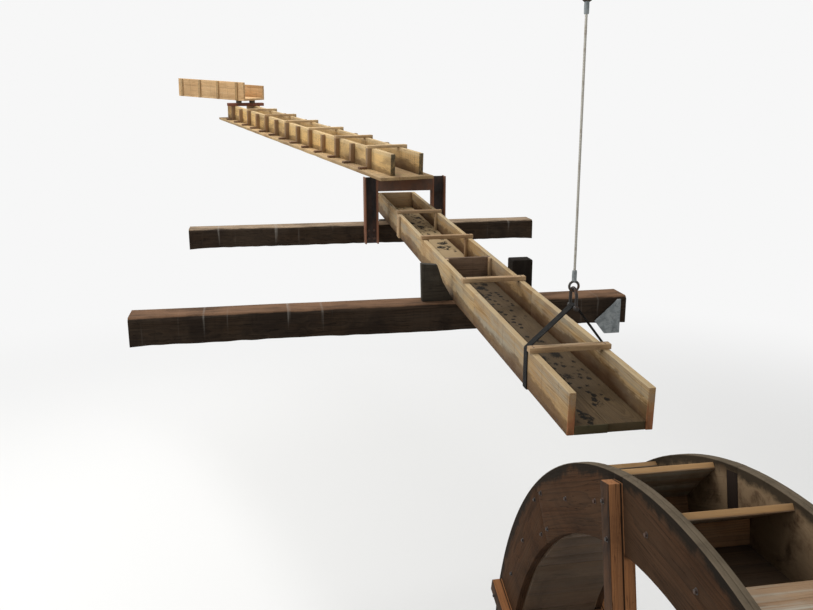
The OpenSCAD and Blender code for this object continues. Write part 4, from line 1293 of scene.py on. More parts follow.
class WHEEL_OT_lower_launder(Operator):
    """Makes the boards of the lower launder"""

    bl_idname = "wheel.lower_launder"
    bl_label = "Lower launder"

    def execute(self, context):
        wood = values()[0]
        half = LAUNDER_W / 2
        inner = half - WALL_T - SEAT
        boards = []
        for k, (x0, x1, start) in enumerate(((-inner, -0.012, 0), (-0.010, inner, 0.006))):
            cuts = (start, FLOOR_JOINTS[k], LAUNDER_LEN)
            for j in range(len(cuts) - 1):
                boards.append(plank((x0, cuts[j], 0), (x1, cuts[j + 1] - 0.002, FLOOR_T), "y",
                                    30 + 4 * k + j, arris=wood.arris, step=0.2, bow=0.001, place=ON_LOWER))
        piece("launder_floor_planks", boards, "launder_floor", "board_wood", "launder_floor_boards")
        for side, name in ((-1, "left"), (1, "right")):
            x0 = -half if side < 0 else half - WALL_T
            walls = [plank((x0, y0, 0), (x0 + WALL_T, y1, LAUNDER_H), "y", seed + side, arris=wood.arris,
                           step=0.12, bow=wood.bow, place=ON_LOWER)
                     for y0, y1, seed in ((0, JOINT_AT, 40), (JOINT_AT + 0.003, LAUNDER_LEN, 44))]
            piece(f"launder_{name}_wall", walls, "launder_board", "board_wood", f"launder_{name}_side")
        ties, nails, battens = [], [], []
        top = LAUNDER_H + SEAT
        tie_places = [*(TIE_FIRST + np.arange(3) * TIE_SPACING), TIE_LAST]
        for k, y in enumerate(tie_places):
            ties.append(plank((-half - TIE_PROUD, y - TIE_W / 2, top),
                              (half + TIE_PROUD, y + TIE_W / 2, top + TIE_T), "x", 50 + k, bow=0.001,
                              place=ON_LOWER))
            nails += [at(ON_LOWER, (x, y + dy, top + TIE_T), (0, 0, 1), nail)
                      for x in (-half + 0.014, half - 0.020) for dy in (-0.011, 0.012)]
        piece("launder_tie_boards", ties, "tie_board", "board_wood", "launder_ties")
        half_batten = BATTEN_W / 2
        for y in (tie_places[2], tie_places[3], STOP_AT - half_batten - SEAT):
            for x, way in ((-inner, 1), (inner - BATTEN_T, -1)):
                battens.append(plank((x, y - half_batten, FLOOR_T + SEAT),
                                     (x + BATTEN_T, y + half_batten, LAUNDER_H - 0.001), "z",
                                     60 + len(battens), arris=0.002, step=0.05, place=ON_LOWER))
                face = x + (BATTEN_T + 0.0002 if way > 0 else -0.0002)
                nails += [at(ON_LOWER, (face, y, z), (way, 0, 0), nail) for z in (0.08, 0.18)]
        piece("launder_battens", battens, "tie_board", "board_wood", "side_battens")
        y, outer = TIE_LAST - COVER_BACK, -half - BATTEN_T - SEAT
        cover = plank((outer, y, 0), (-half - SEAT, y + COVER_W, LAUNDER_H), "z", 70, step=0.05,
                      place=ON_LOWER)
        piece("launder_cover_batten", [cover], "tie_board", "board_wood", "cover_batten")
        for name, y, seed, finish, slot, replaced in (
            ("stop_plank", STOP_AT, 71, "stop_board", "grey_wood", "stop_board"),
            ("head_plank", LAUNDER_LEN - END_BOARD_T, 72, "tie_board", "board_wood", "head_board"),
        ):
            board = plank((-inner, y, FLOOR_T + SEAT), (inner, y + END_BOARD_T, LAUNDER_H), "x", seed,
                          place=ON_LOWER)
            piece(name, [board], finish, slot, replaced)
        y = (SPOUT_REACH + BEAM_SPACING + BEAM_D / 2) / math.cos(FALL) + 0.012
        reach, deep, tall = HEAD_BEARER
        bearer = plank((-reach, y, -tall - SEAT), (reach, y + deep, -SEAT), "x", 73, arris=0.006,
                       place=ON_LOWER)
        piece("head_bearer_timber", [bearer], "grey_board", "grey_wood", "head_bearer")
        nails += [at(ON_LOWER, (side * (half + 0.0001), y, 0.022), (side, 0, 0), nail)
                  for y in np.arange(0.14, LAUNDER_LEN, 0.31) for side in (-1, 1)]
        nails += [at(ON_LOWER, (outer - 0.0001, TIE_LAST - 0.110, z), (-1, 0, 0), nail)
                  for z in (0.03, 0.11, 0.19)]
        piece("launder_nails", nails, "bolt_iron", "iron")
        return {"FINISHED"}


def at(place, point, way, maker, *more, **named):
    """Makes a small piece at a point and direction given in a launder's own frame."""
    return maker(put(np.array(point, float), place), place[:3, :3] @ np.array(way, float), *more, **named)


def section(wide, deep):
    """A rolled section about its own middle: two flanges across the depth and a web over the width, with
    rounded toes and wide root fillets."""
    x, y = wide / 2, deep / 2
    f, t = wide / 2 - FLANGE_T, WEB_T / 2
    corners = [(-x, -y), (-f, -y), (-f, -t), (f, -t), (f, -y), (x, -y),
               (x, y), (f, y), (f, t), (-f, t), (-f, y), (-x, y)]
    roots = np.array([k in (2, 3, 8, 9) for k in range(12)])
    return rounded(corners, np.where(roots, 0.010, 0.003)[:, None])


class WHEEL_OT_portal(Operator):
    """Makes the steel portal of rolled sections in front of the upper beam"""

    bl_idname = "wheel.portal"
    bl_label = "Portal"

    def execute(self, context):
        posts, bolts = [], []
        for side in (-1, 1):
            x = PORTAL_X + side * (PORTAL_W - SECTION_W) / 2
            outline = section(SECTION_W, SECTION_D) + [x, PORTAL_FRONT + SECTION_D / 2]
            posts.append(cut_board(outline, "z", PORTAL_FOOT, PORTAL_TOP, IN_PLACE, 80 + side, arris=0.001,
                                   step=0.1))
            face = PORTAL_FRONT + (SECTION_D - WEB_T) / 2
            for z in (UPPER_TOP - 0.050, UPPER_TOP - 0.135):
                bolts += [bolt((x + dx, face, z), (0, -1, 0), *POST_BOLT, seed=int(z * 99))
                          for dx in (-0.03, 0.03)]
            inner = x - side * (SECTION_W / 2 + 0.0002)
            for z in (PORTAL_TOP - 0.028, PORTAL_TOP - 0.115):
                bolts += [bolt((inner, PORTAL_FRONT + y, z), (-side, 0, 0), *SMALL_BOLT, seed=7)
                          for y in (0.035, 0.105)]
        piece("portal_post_sections", posts, "portal_steel", "rust_steel", "portal_posts")
        half = PORTAL_W / 2 - SECTION_W - SEAT
        outline = section(SECTION_D, SECTION_W) + [PORTAL_FRONT + SECTION_D / 2, PORTAL_TOP - SECTION_W / 2]
        head = cut_board(outline, "x", PORTAL_X - half, PORTAL_X + half, IN_PLACE, 83, arris=0.001, step=0.1)
        piece("portal_head_section", [head], "portal_steel", "rust_steel", "portal_head")
        piece("portal_bolts", bolts, "bolt_iron", "iron")
        return {"FINISHED"}


class WHEEL_OT_upper_launder(Operator):
    """Makes the boards, posts, ties and cleats of the upper launder"""

    bl_idname = "wheel.upper_launder"
    bl_label = "Upper launder"

    def execute(self, context):
        wood = values()[0]
        half, low = UPPER_W / 2, UPPER_FLOOR + SEAT
        edges = [-UPPER_LEFT, *UPPER_CUTS, UPPER_RIGHT]
        boards = [plank((a, front, 0), (b - 0.002, UPPER_LEN, UPPER_FLOOR), "y", 90 + k, arris=wood.arris,
                        step=0.25, bow=0.001, place=ON_UPPER)
                  for k, (a, b, front) in enumerate(zip(edges, edges[1:], (0.010, 0.0, 0.006)))]
        own = put(boards[0]["points"], np.linalg.inv(ON_UPPER))
        edge = np.clip((-UPPER_LEFT + 0.020 - own[:, 0]) / 0.015, 0, 1)
        wander = (ripple(own[:, 1:2], [1.6], 91) + 0.4 * ripple(own[:, 1:2], [9], 92) + 1.4) * 0.006
        boards[0]["points"] = boards[0]["points"] + (edge * wander)[:, None] * ON_UPPER[:3, 0]
        piece("upper_floor_planks", boards, "upper_floor", "board_wood", "upper_floor_boards")
        for side, name in ((-1, "left"), (1, "right")):
            x0 = -half if side < 0 else half - UPPER_WALL
            wall = plank((x0, UPPER_WALL_BACK, low), (x0 + UPPER_WALL, UPPER_LEN, low + UPPER_H), "y",
                         95 + side, arris=wood.arris, step=0.12, bow=wood.bow, place=ON_UPPER)
            piece(f"upper_{name}_wall", [wall], "upper_board", "board_wood", f"upper_{name}_side")
        posts, cleats, ties, nails = [], [], [], []
        draw = np.random.default_rng(12)
        for k in range(POSTS):
            y = POST_FIRST + k * POST_PITCH
            y0, y1 = y - POST_SIDE / 2, y + POST_SIDE / 2
            short = draw.uniform(0, 0.012, 2)
            for side in (0, 1):
                x0 = half + SEAT if side else -half - POST_SIDE - SEAT
                top = low + UPPER_H - (0 if k % 2 == 0 else short[side])
                posts.append(plank((x0, y0, low), (x0 + POST_SIDE, y1, top), "z", 100 + 2 * k + side,
                                   bow=0.001, place=ON_UPPER))
                way = 1 if side else -1
                nails += [at(ON_UPPER, (way * (half + POST_SIDE + 0.0004), y + dy, z), (way, 0, 0), nail)
                          for dy, z in ((-0.010, 0.09), (0.012, 0.19))]
            x0 = -half - POST_SIDE - 2 * SEAT - CLEAT_LEN
            cleats.append(plank((x0, y0, low), (x0 + CLEAT_LEN, y1, low + CLEAT_T), "x", 130 + k, step=0.03,
                                place=ON_UPPER))
            nails.append(at(ON_UPPER, (x0 + 0.040, y, low + CLEAT_T + 0.0002), (0, 0, 1), nail))
            if k % 2 == 0 and k < POSTS - 2:
                ties.append(plank((-half - POST_SIDE, y0, BEARER_Z),
                                  (half + POST_SIDE, y1, BEARER_Z + TIE_T), "x", 150 + k, bow=0.001,
                                  place=ON_UPPER))
                nails += [at(ON_UPPER, (s * (half + 0.012), y, BEARER_Z + TIE_T + SEAT), (0, 0, 1), nail)
                          for s in (-1, 1)]
        piece("upper_post_timbers", posts, "post_wood", "grey_wood", "upper_posts")
        piece("upper_tie_boards", ties, "upper_tie", "board_wood", "upper_ties")
        piece("foot_cleat_blocks", cleats, "cleat_wood", "old_timber", "foot_cleats")
        piece("upper_nails", nails, "bolt_iron", "iron")
        return {"FINISHED"}


class WHEEL_OT_head_trough(Operator):
    """Makes the short head trough, its bearer and its packers"""

    bl_idname = "wheel.head_trough"
    bl_label = "Head trough"

    def execute(self, context):
        span = UPPER_W / 2 + POST_SIDE + 0.060
        y, z, wall = BEARER_D / 2, BEARER_Z + BEARER_H, 0.008
        channel = [(-y, BEARER_Z), (-y + wall, BEARER_Z), (-y + wall, z - wall), (y - wall, z - wall),
                   (y - wall, BEARER_Z), (y, BEARER_Z), (y, z), (-y, z)]
        outline = rounded(np.array(channel) + [STATION, 0], 0.003)
        bearer = cut_board(outline, "x", -span, span, ON_UPPER, 170, arris=0.001, step=0.1)
        piece("bearer_channel", [bearer], "bearer_steel", "rust_steel", "trough_bearer")
        packers = [plank((x - 0.035, STATION - y, z + SEAT), (x + 0.035, STATION + y, z + SEAT + PACKER_H),
                         "y", seed, step=0.04, place=ON_UPPER)
                   for x, seed in ((-0.110, 171), (0.110, 173))]
        piece("packer_blocks", packers, "grey_board", "old_timber", "trough_packers")
        half = TROUGH_W / 2
        edges = np.linspace(-half, half, 4)
        boards = [plank((a + 0.001, 0, 0), (b - 0.001, TROUGH_LEN, TROUGH_BOARD), "y", 175 + k, arris=0.002,
                        step=0.2, place=ON_TROUGH)
                  for k, (a, b) in enumerate(zip(edges, edges[1:]))]
        piece("trough_floor_planks", boards, "trough_board", "fresh_wood", "trough_floor")
        walls = []
        for k, (x0, high) in enumerate(((-half, TROUGH_LEFT), (half - TROUGH_BOARD, TROUGH_RIGHT))):
            cut = TROUGH_BOARD + SEAT + 0.150
            for j, (a, b) in enumerate(((TROUGH_BOARD + SEAT, cut), (cut + 0.0015, high + SEAT))):
                walls.append(plank((x0, 0.002 * j, a), (x0 + TROUGH_BOARD, TROUGH_LEN - 0.002 * j, b), "y",
                                   180 + 2 * k + j, arris=0.002, step=0.15, bow=0.001, place=ON_TROUGH))
        piece("trough_walls", walls, "trough_board", "fresh_wood", "trough_sides")
        battens, nails, outer = [], [], -half - BATTEN_T - SEAT
        for k in range(4):
            y0 = min(0.130 + k * TROUGH_PITCH, TROUGH_LEN - BATTEN_W)
            battens.append(plank((outer, y0, 0), (-half - SEAT, y0 + BATTEN_W, TROUGH_LEFT), "z", 186 + k,
                                 place=ON_TROUGH))
            nails += [at(ON_TROUGH, (outer - 0.0001, y0 + BATTEN_W / 2, h), (-1, 0, 0), nail)
                      for h in (0.016, 0.09, 0.15, 0.22, 0.27)]
        piece("trough_batten_boards", battens, "trough_batten", "grey_wood", "trough_battens")
        piece("trough_nails", nails, "bolt_iron", "iron")
        return {"FINISHED"}


SLING_Y = -SPOUT_REACH + (TIE_FIRST + TIE_W / 2 + SLING_GAP + SLING_W / 2) * math.cos(FALL)
SLING_UNDER = LAUNDER_SEAT + SLING_Y * math.tan(FALL)
SLING_LOW = SLING_UNDER - math.tan(FALL) * SLING_W - SEAT
SLING_HIGH = SLING_UNDER + LAUNDER_H + SEAT
PIN_Z = SLING_HIGH + SLING_RISE
BOW_R = SLING_W / 2 + 0.013
BOW_Z = PIN_Z + 0.060
ON_SLING = moved(LAUNDER_X, SLING_Y, 0)
ON_HANGER = moved(LAUNDER_X + HANGER_SHIFT, SLING_Y, 0)


def strap(path, wide, thick, place):
    """A flat band along a closed path in X and Z: a rounded rectangle set square to the path, with edges a
    little thinner than its middle."""
    path = np.asarray(path, float)
    ahead = unit(np.roll(path, -1, 0) - np.roll(path, 1, 0))
    out = np.stack([ahead[:, 1], -ahead[:, 0]], -1)
    edge = rounded(box_corners(wide, thick), thick * 0.35, steps=5)
    edge[:, 1] *= 1 - 0.25 * (edge[:, 0] / wide * 2) ** 4
    points = path[:, None] + out[:, None] * edge[None, :, 1, None]
    y = np.broadcast_to(edge[:, 0], points.shape[:2])
    grid = put(np.stack([points[..., 0], y, points[..., 1]], -1), place)
    local = np.stack(np.broadcast_arrays(run_along(path)[:, None], y, 0.0), -1)
    return skin(grid, local, 0.5, ring=True)


class WHEEL_OT_hanger(Operator):
    """Makes the sling, the bow shackle, the steel cable and the plate it hangs from"""

    bl_idname = "wheel.hanger"
    bl_label = "Sling and cable"

    def execute(self, context):
        t, h, bend = SLING_OFF, LAUNDER_W / 2 + SEAT, PIN_Z + PIN_BEND[1] + SLING_OFF
        loop = np.array([
            (-h - t, SLING_LOW - t), (h + t, SLING_LOW - t), (h + t, SLING_HIGH + t / 2),
            (HANGER_SHIFT + PIN_SIDE + t, PIN_Z), (HANGER_SHIFT + PIN_BEND[0], bend),
            (HANGER_SHIFT - PIN_BEND[0], bend), (HANGER_SHIFT - PIN_SIDE - t, PIN_Z),
            (-h - t, SLING_HIGH + t / 2)])
        ease = np.array([0.004, 0.004, 0.005, 0.006, 0.006, 0.006, 0.006, 0.005])[:, None]
        band = strap(rounded(rounded(loop, ease), 0.0012, steps=8), SLING_W, SLING_T, ON_SLING)
        seams = []
        for side in (-1, 1):
            low, high = loop[2 if side > 0 else 7], loop[3 if side > 0 else 6]
            way = (high - low) / np.linalg.norm(high - low)
            for back in (0.050, 0.066, 0.082):
                middle = high - way * back + np.array([way[1], -way[0]]) * SLING_T * 0.5
                seams.append(tube([(middle[0], y, middle[1]) for y in np.linspace(-SEAM_HALF, SEAM_HALF, 9)],
                                  SEAM_R, ON_SLING, steps=6))
        piece("sling_band", [band], "sling_web", "web", "sling")
        piece("sling_seams", seams, "sling_thread", "web")
        turn = np.linspace(0, math.pi, 25)
        bow = [(0, BOW_R, PIN_Z), *[(0, BOW_R * math.cos(a), BOW_Z + BOW_R * math.sin(a)) for a in turn],
               (0, -BOW_R, PIN_Z)]
        body = [tube(bow, BAR_R, ON_HANGER, steps=20)]
        ring = [(-0.0085, 0.012), (-0.0070, 0.0145), (0.0070, 0.0145), (0.0085, 0.012)]
        body += [at(ON_HANGER, (0, y, PIN_Z), (0, 1, 0), partial(turned_solid, ring), steps=28)
                 for y in (-BOW_R, BOW_R)]
        end = BOW_R + 0.0185
        pin = [(-end, PIN_R - 0.0013), (0.0015 - end, PIN_R), (end - 0.0015, PIN_R), (end, PIN_R - 0.0013)]
        body.append(at(ON_HANGER, (0, 0, PIN_Z), (0, 1, 0), partial(turned_solid, pin), steps=24))
        body += at(ON_HANGER, (0, BOW_R + 0.0087, PIN_Z), (0, 1, 0), bolt, *PIN_NUT, washer=False)
        button = [(0, 0.0115), (0.001, 0.0128), (0.006, 0.0128), (0.0075, 0.011)]
        body.append(at(ON_HANGER, (0, -BOW_R - 0.0090, PIN_Z), (0, -1, 0), partial(turned_solid, button),
                       steps=28))
        piece("bow_shackle", body, "shackle_iron", "iron", "shackle")
        clear = STAPLE_BAR_R + 0.007 + SEAT
        low_eye = BOW_Z + BOW_R - clear + EYE_R
        top_eye = CEILING - STAPLE_REACH - EYE_R
        ring = around(72)
        collar = [(0, 0.0105), (0.003, 0.0128), (0.030, 0.0130), (0.057, 0.0128), (FERRULE_LEN, 0.0105)]
        eyes, thimbles, ferrules = [], [], []
        for z, up, foot in ((low_eye, 1, low_eye + 0.027), (top_eye, -1, top_eye - 0.027 - FERRULE_LEN)):
            circle = np.stack([np.sin(ring), 0 * ring, -np.cos(ring) * up], -1)
            eyes.append(tube(circle * EYE_R + [0, 0, z], WIRE_R, ON_HANGER, steps=30, lobes=STRANDS,
                             lobe_depth=0.16, lay=LAY, ring=True))
            thimbles.append(tube(circle * 0.0208 + [0, 0, z], 0.0018, ON_HANGER, steps=8, ring=True))
            ferrules.append(at(ON_HANGER, (0, 0, foot), (0, 0, 1), partial(turned_solid, collar), steps=28))
        path = np.linspace(low_eye + 0.080, top_eye - 0.080, 420)
        wire = tube(np.stack([0 * path, 0 * path, path], -1), WIRE_R, ON_HANGER, steps=36, lobes=STRANDS,
                    lobe_depth=0.18, lay=LAY)
        piece("wire_cable", [wire], "cable_wire", "zinc", "hanger_cable")
        piece("cable_eyes", eyes, "eye_wire", "zinc")
        piece("cable_thimbles", thimbles + ferrules, "zinc_plate", "zinc")
        half, thick = CEILING_PLATE[0] / 2, CEILING_PLATE[1]
        plate = plank((-half, -half, CEILING), (half, half, CEILING + thick), "x", 200, arris=0.0015,
                      step=0.1, place=ON_HANGER)
        low, root = CEILING - STAPLE_REACH - clear + STAPLE_R, CEILING + 0.002
        staple = [(0, STAPLE_R, root),
                  *[(0, STAPLE_R * math.cos(a), low - STAPLE_R * math.sin(a)) for a in turn],
                  (0, -STAPLE_R, root)]
        heads = [at(ON_HANGER, (x, y, CEILING), (0, 0, -1), bolt, *SMALL_BOLT)
                 for x in (-0.050, 0.050) for y in (-0.050, 0.050)]
        loop = tube(staple, STAPLE_BAR_R, ON_HANGER, steps=20)
        piece("ceiling_plate_steel", [plate, loop, *heads], "shackle_iron", "iron", "ceiling_plate")
        return {"FINISHED"}


def wheel_turn(angle):
    """The wheel's frame turned so that its own Z points out at an angle from the top towards plus Y."""
    return ON_WHEEL @ turned("X", -angle)


class WHEEL_OT_shrouds(Operator):
    """Makes both rings of felloes and their bolts"""

    bl_idname = "wheel.shrouds"
    bl_label = "Shrouds"

    def execute(self, context):
        third = TAU / ARMS
        for side, name in ((-1, "left"), (1, "right")):
            boards, bolts = [], []
            outer = side * WHEEL_W / 2
            middle = side * (INSIDE + SHROUD_T / 2)
            inner = side * INSIDE
            for k in range(ARMS):
                arm = ARM_TURN + k * third
                for layer, (a, b) in enumerate(((outer, middle + side * LAYER_GAP),
                                                (middle - side * LAYER_GAP, inner))):
                    low, high = min(a, b), max(a, b)
                    joint = arm + third * FELLOE_JOINTS[layer]
                    seed = 210 + 20 * k + 4 * layer + (side > 0)
                    boards.append(felloe(SHROUD_IN, RIM, low, high, arm, joint - JOINT_GAP, seed,
                                         notch=(1, 0)))
                    boards.append(felloe(SHROUD_IN, RIM, low, high, joint + JOINT_GAP, arm + third, seed + 2,
                                         notch=(0, 1)))
                over = math.asin((ARM_W / 2 + SEAT) / RIM)
                boards.append(felloe(ARM_END + SEAT, RIM, min(outer, inner), max(outer, inner), arm - over,
                                     arm + over, 190 + k, arris=0.001))
                spots = [(arm + third * FELLOE_JOINTS[0] + s * 0.030, r) for s in (-1, 1)
                         for r in (SHROUD_IN + 0.06, RIM - 0.07)]
                spots += [(arm + third * f, SHROUD_IN + 0.155) for f in (0.12, 0.30, 0.70, 0.88)]
                for j, (angle, r) in enumerate(spots):
                    centre = (LAUNDER_X + outer, AXLE_Y + r * math.sin(angle), AXLE_Z + r * math.cos(angle))
                    bolts.append(bolt(centre, (side, 0, 0), *SMALL_BOLT, seed=k * 10 + j))
            piece(f"{name}_felloes", boards, "shroud_plank", "wheel_wood", f"{name}_shroud", body="wheel")
            piece(f"{name}_shroud_bolts", bolts, "wheel_bolt", "iron", body="wheel")
        return {"FINISHED"}


class WHEEL_OT_buckets(Operator):
    """Makes the sole, riser and face boards of every bucket"""

    bl_idname = "wheel.buckets"
    bl_label = "Buckets"

    def execute(self, context):
        half = INSIDE - SEAT
        step = TAU / BUCKETS
        gap = math.radians(0.05)
        low = np.array([0, ELBOW_R])
        rim = (RIM - RIM_SHORT) * np.array([-math.sin(FACE_SWEEP), math.cos(FACE_SWEEP)])
        run = (rim - low) / np.linalg.norm(rim - low)
        off = np.array([-run[1], run[0]]) * BUCKET_T
        mitre = -BUCKET_T / run[0]
        foot = np.array([0, ELBOW_R - mitre])
        riser = [(0, SOLE_R + SEAT), (0, ELBOW_R - mitre - SEAT),
                 (-BUCKET_T, ELBOW_R - mitre - SEAT - BUCKET_T * run[1] / run[0]),
                 (-BUCKET_T, SOLE_R + SEAT)]
        split = low + (rim - low) * 0.52
        near, far = split - run * 0.0006, split + run * 0.0006
        faces, risers, soles = [], [], []
        cos_half, inner = math.cos(step / 2 - gap), SOLE_R - SOLE_T
        for k in range(BUCKETS):
            place = wheel_turn(RISER_TURN + k * step)
            for j, shape in enumerate(([low, near, near + off, foot], [far, rim, rim + off, far + off])):
                faces.append(cut_board(rounded(shape, 0.002, steps=3), "x", -half, half, place,
                                       300 + 2 * k + j, arris=0.0015, step=0.08, bow=0.0006))
            risers.append(cut_board(rounded(riser, 0.0015, steps=3), "x", -half, half, place, 360 + k,
                                    arris=0.0015, step=0.1))
            place = wheel_turn(RISER_TURN + (k + 0.5) * step)
            reach = inner * math.sin(step / 2 - gap)
            edges = np.linspace(-reach, reach, 4)
            for j, (a, b) in enumerate(zip(edges, edges[1:])):
                a, b = (a + 0.0006 * (j > 0)), (b - 0.0006 * (j < 2))
                wide = SOLE_R / inner
                shape = [(a, inner * cos_half), (b, inner * cos_half), (b * wide, SOLE_R * cos_half),
                         (a * wide, SOLE_R * cos_half)]
                soles.append(cut_board(rounded(shape, 0.0015), "x", -half, half, place, 400 + 3 * k + j,
                                       arris=0.0015, step=0.1))
        piece("bucket_face_boards", faces, "bucket_board", "fresh_wood", "bucket_faces", body="wheel")
        piece("bucket_riser_boards", risers, "riser_board", "fresh_wood", "bucket_risers", body="wheel")
        piece("sole_planks", soles, "sole_board", "wheel_wood", "sole_boards", body="wheel")
        return {"FINISHED"}


class WHEEL_OT_arms(Operator):
    """Makes the arms and the iron hubs that hold them"""

    bl_idname = "wheel.arms"
    bl_label = "Arms and hubs"

    def execute(self, context):
        count = values()[1].arm_bolts
        deep = ARM_PROUD + SHROUD_T
        board = (deep - SEAT) / 2
        hubs, hub_bolts = [], []
        for side, name in ((-1, "left"), (1, "right")):
            boards, bolts = [], []
            start = INSIDE if side > 0 else -INSIDE - deep
            face = side * (INSIDE + deep)
            for k in range(ARMS):
                place = wheel_turn(ARM_TURN + k * TAU / ARMS)
                for j, x in enumerate((start, start + board + SEAT)):
                    boards.append(plank((x, -ARM_W / 2, ARM_ROOT), (x + board, ARM_W / 2, ARM_END), "z",
                                        480 + 12 * (side > 0) + 2 * k + j, arris=0.0035, step=0.12,
                                        bow=0.0006, place=place))
                for r, y in ARM_BOLTS:
                    bolts.append(at(place, (face, y, r), (side, 0, 0), bolt, *SMALL_BOLT))
                for r in np.linspace(HUB_BOLTS_FROM, HUB_BOLTS_TO, count) if count > 1 else [0.25]:
                    hub_bolts.append(at(place, (side * (HUB_FACE + HUB_T), 0, r), (side, 0, 0), bolt,
                                        *HUB_BOLT))
            piece(f"{name}_arm_boards", boards, "arm_board", "fresh_wood", f"{name}_arms", body="wheel")
            piece(f"{name}_arm_bolts", bolts, "wheel_bolt", "iron", body="wheel")
            bore, end = AXLE_R + SEAT, HUB_T + BOSS_LEN
            profile = [(0, bore), (0, HUB_R - 0.003), (0.003, HUB_R), (HUB_T - 0.004, HUB_R),
                       (HUB_T, HUB_R - 0.004), (HUB_T, HUB_R - 0.03),
                       (HUB_T, BOSS_R + 0.014), (HUB_T + 0.003, BOSS_R + 0.005),
                       (HUB_T + 0.010, BOSS_R), (end - 0.005, BOSS_R), (end - 0.0015, BOSS_R - 0.0015),
                       (end, BOSS_R - 0.005), (end, bore + 0.003), (end - 0.003, bore)]
            hubs.append(lathed(profile, (LAUNDER_X + side * HUB_FACE, AXLE_Y, AXLE_Z), (side, 0, 0),
                               steps=96))
            key = sorted((side * (HUB_FACE + end - 0.010), side * (HUB_FACE + end + 0.016)))
            hubs.append(plank((key[0], -0.009, AXLE_R - 0.004), (key[1], 0.009, AXLE_R + 0.011), "x", 520,
                              arris=0.001, step=0.02, place=wheel_turn(0.4)))
        piece("hub_castings", hubs, "cast_iron", "iron", "hubs", body="wheel")
        piece("hub_bolt_heads", hub_bolts, "wheel_bolt", "iron", body="wheel")
        return {"FINISHED"}


class WHEEL_OT_axle(Operator):
    """Makes the axle and the two pedestal bearings"""

    bl_idname = "wheel.axle"
    bl_label = "Axle and bearings"

    def execute(self, context):
        end = BEARING_AT + BEARING_LEN / 2 + 0.030
        profile = [(-end, AXLE_R - 0.003), (-end + 0.003, AXLE_R),
                   (end - 0.003, AXLE_R), (end, AXLE_R - 0.003),
                   (end, 0.0515), (end + 0.0015, 0.050), (end + 0.107, 0.050), (end + 0.110, 0.047)]
        shaft = turned_solid(profile, ON_WHEEL[:3, 3], (1, 0, 0), steps=96)
        piece("axle_shaft", [shaft], "axle_steel", "iron", "axle", body="wheel")
        angle = around(144)
        up, across = np.cos(angle), np.sin(angle)
        below = np.minimum(HOUSING_R / np.maximum(np.abs(across), 1e-6),
                           BEARING_RISE / np.maximum(-up, 1e-6))
        outer = np.where(up >= 0, HOUSING_R, below)
        for side, name in ((-1, "left"), (1, "right")):
            middle = side * BEARING_AT
            half = BEARING_LEN / 2
            bore = np.full_like(outer, AXLE_R + 0.002)
            rows = [(-half, bore), (-half, outer - 0.004), (-half + 0.004, outer), (half - 0.004, outer),
                    (half, outer - 0.004), (half, bore)]
            grid = np.stack([np.stack([np.full_like(r, middle + x), r * across, r * up], -1)
                             for x, r in rows])
            foot = plank((middle - half, -BASE_LEN / 2, -BEARING_RISE),
                         (middle + half, BASE_LEN / 2, PEDESTAL_T - BEARING_RISE), "y", 530, arris=0.005,
                         step=0.1, place=ON_WHEEL)
            nipple = [(0, 0.013), (0.004, 0.013), (0.005, 0.010), (0.016, 0.010), (0.020, 0.006)]
            body = [skin(put(grid, ON_WHEEL), grid, 0.5, ring=True), foot,
                    at(ON_WHEEL, (middle, 0, HOUSING_R - 0.002), (0, 0, 1), partial(turned_solid, nipple),
                       steps=20)]
            bolts = [at(ON_WHEEL, (middle + x, y, PEDESTAL_T - BEARING_RISE), (0, 0, 1), bolt, *BASE_BOLT,
                        seed=int(40 * (x + y + 1)))
                     for x in (-0.045, 0.045) for y in (-0.158, 0.158)]
            piece(f"{name}_bearing_housing", body, "cast_iron", "iron", f"{name}_bearing")
            piece(f"{name}_bearing_bolts", bolts, "bolt_iron", "iron")
        return {"FINISHED"}


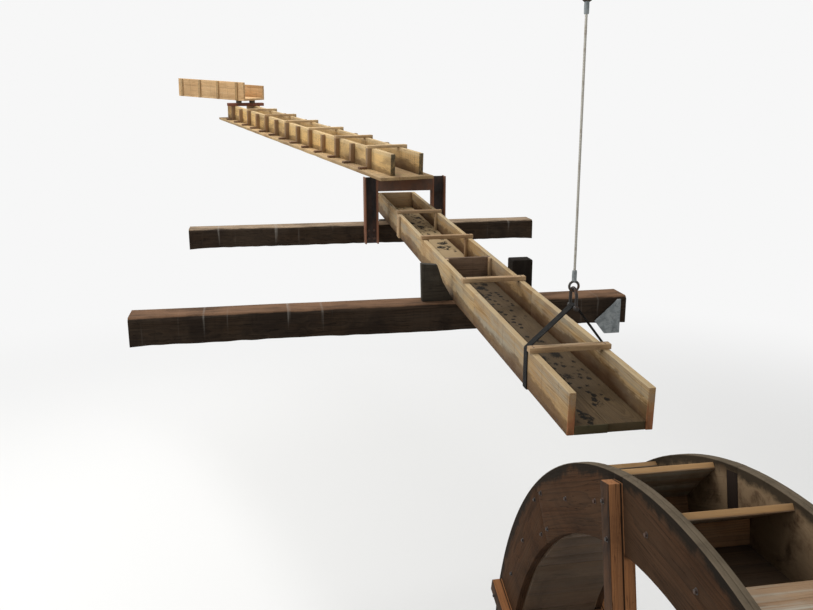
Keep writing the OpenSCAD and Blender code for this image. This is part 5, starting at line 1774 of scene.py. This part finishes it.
class WHEEL_OT_trestles(Operator):
    """Makes the two timber trestles under the bearings"""

    bl_idname = "wheel.trestles"
    bl_label = "Trestles"

    def execute(self, context):
        cap = -BEARING_RISE - SEAT
        ground = GROUND - AXLE_Z
        head, foot, t = cap - TRESTLE - SEAT, ground + TRESTLE + SEAT, TRESTLE * 0.8
        head_y, foot_y = CAP_LEN / 2 - t * 1.2, SILL_LEN / 2 - t * 1.4
        rake = math.atan2(head - foot, head_y - foot_y)
        caps, sills, legs, bolts = [], [], [], []
        for k, side in enumerate((-1, 1)):
            x = side * BEARING_AT
            wide = TRESTLE / 2
            caps.append(plank((x - wide, -CAP_LEN / 2, cap - TRESTLE), (x + wide, CAP_LEN / 2, cap), "y",
                              540 + k, arris=0.006, step=0.08, bow=0.001, place=ON_WHEEL))
            sills.append(plank((x - wide, -SILL_LEN / 2, ground), (x + wide, SILL_LEN / 2, ground + TRESTLE),
                               "y", 544 + k, arris=0.008, step=0.08, place=ON_WHEEL))
            for s in (-1, 1):
                shape = [(s * head_y, head), (s * (head_y - t * 1.1), head), (s * (foot_y - t * 1.1), foot),
                         (s * foot_y, foot)]
                legs.append(cut_board(rounded(shape, 0.005, steps=12), "x", x - t / 2, x + t / 2, ON_WHEEL,
                                      550 + 4 * k + s, arris=0.005, step=0.04,
                                      grain=rake if s > 0 else math.pi - rake))
            legs.append(plank((x - t / 2, -t / 2, foot), (x + t / 2, t / 2, head), "z", 560 + k, arris=0.005,
                              step=0.08, place=ON_WHEEL))
            for y, z in ((0, head - 0.12), (0, foot + 0.10), (head_y - 0.10, head - 0.10),
                         (0.10 - head_y, head - 0.10), (foot_y - 0.11, foot + 0.09),
                         (0.11 - foot_y, foot + 0.09)):
                bolts.append(at(ON_WHEEL, (x + side * t / 2, y, z), (side, 0, 0), bolt, *TRESTLE_BOLT))
        piece("trestle_cap_timbers", caps, "trestle_timber", "old_timber", "trestle_caps")
        piece("trestle_sill_timbers", sills, "trestle_timber", "old_timber", "trestle_sills")
        piece("trestle_leg_timbers", legs, "trestle_timber", "old_timber", "trestle_legs")
        piece("trestle_bolts", bolts, "bolt_iron", "iron")
        return {"FINISHED"}


class WHEEL_OT_finishes(Operator):
    """Makes the finishes that every piece is given"""

    bl_idname = "wheel.finishes"
    bl_label = "Finishes"

    def execute(self, context):
        make_finishes()
        return {"FINISHED"}


class WHEEL_PT_sidebar(Panel):
    """Values of the model and the steps that build it"""

    bl_label = "Water wheel"
    bl_idname = "WHEEL_PT_sidebar"
    bl_space_type = "VIEW_3D"
    bl_region_type = "UI"
    bl_category = "Water wheel"

    def draw(self, context):
        for title, group in zip(("Timber", "Wheel", "Metal", "Stage"), values()):
            box = self.layout.box()
            box.label(text=title)
            for key in group.__annotations__:
                box.prop(group, key)
        for step in STEPS:
            self.layout.operator(step.bl_idname)


STEPS = (
    WHEEL_OT_finishes, WHEEL_OT_beams, WHEEL_OT_lower_launder, WHEEL_OT_portal, WHEEL_OT_upper_launder,
    WHEEL_OT_head_trough, WHEEL_OT_hanger, WHEEL_OT_shrouds, WHEEL_OT_buckets, WHEEL_OT_arms, WHEEL_OT_axle,
    WHEEL_OT_trestles, WHEEL_OT_stage,
)
GROUPS = {
    "wheel_timber": TimberValues, "wheel_wheel": WheelValues, "wheel_steel": SteelValues,
    "wheel_stage": StageValues,
}


def register():
    """Adds the values, the steps and the panel."""
    for key, group in GROUPS.items():
        bpy.utils.register_class(group)
        setattr(bpy.types.Scene, key, PointerProperty(type=group))
    for kind in (*STEPS, WHEEL_PT_sidebar):
        bpy.utils.register_class(kind)


def unregister():
    """Takes them away again."""
    for kind in reversed((*STEPS, WHEEL_PT_sidebar)):
        bpy.utils.unregister_class(kind)
    for key, group in GROUPS.items():
        delattr(bpy.types.Scene, key)
        bpy.utils.unregister_class(group)


def main():
    """Builds the whole model."""
    register()
    for step in STEPS:
        family, name = step.bl_idname.split(".")
        result = getattr(getattr(bpy.ops, family), name)()
        if result != {"FINISHED"}:
            raise RuntimeError(f"{step.bl_label} was not finished")


if __name__ == "__main__":
    main()
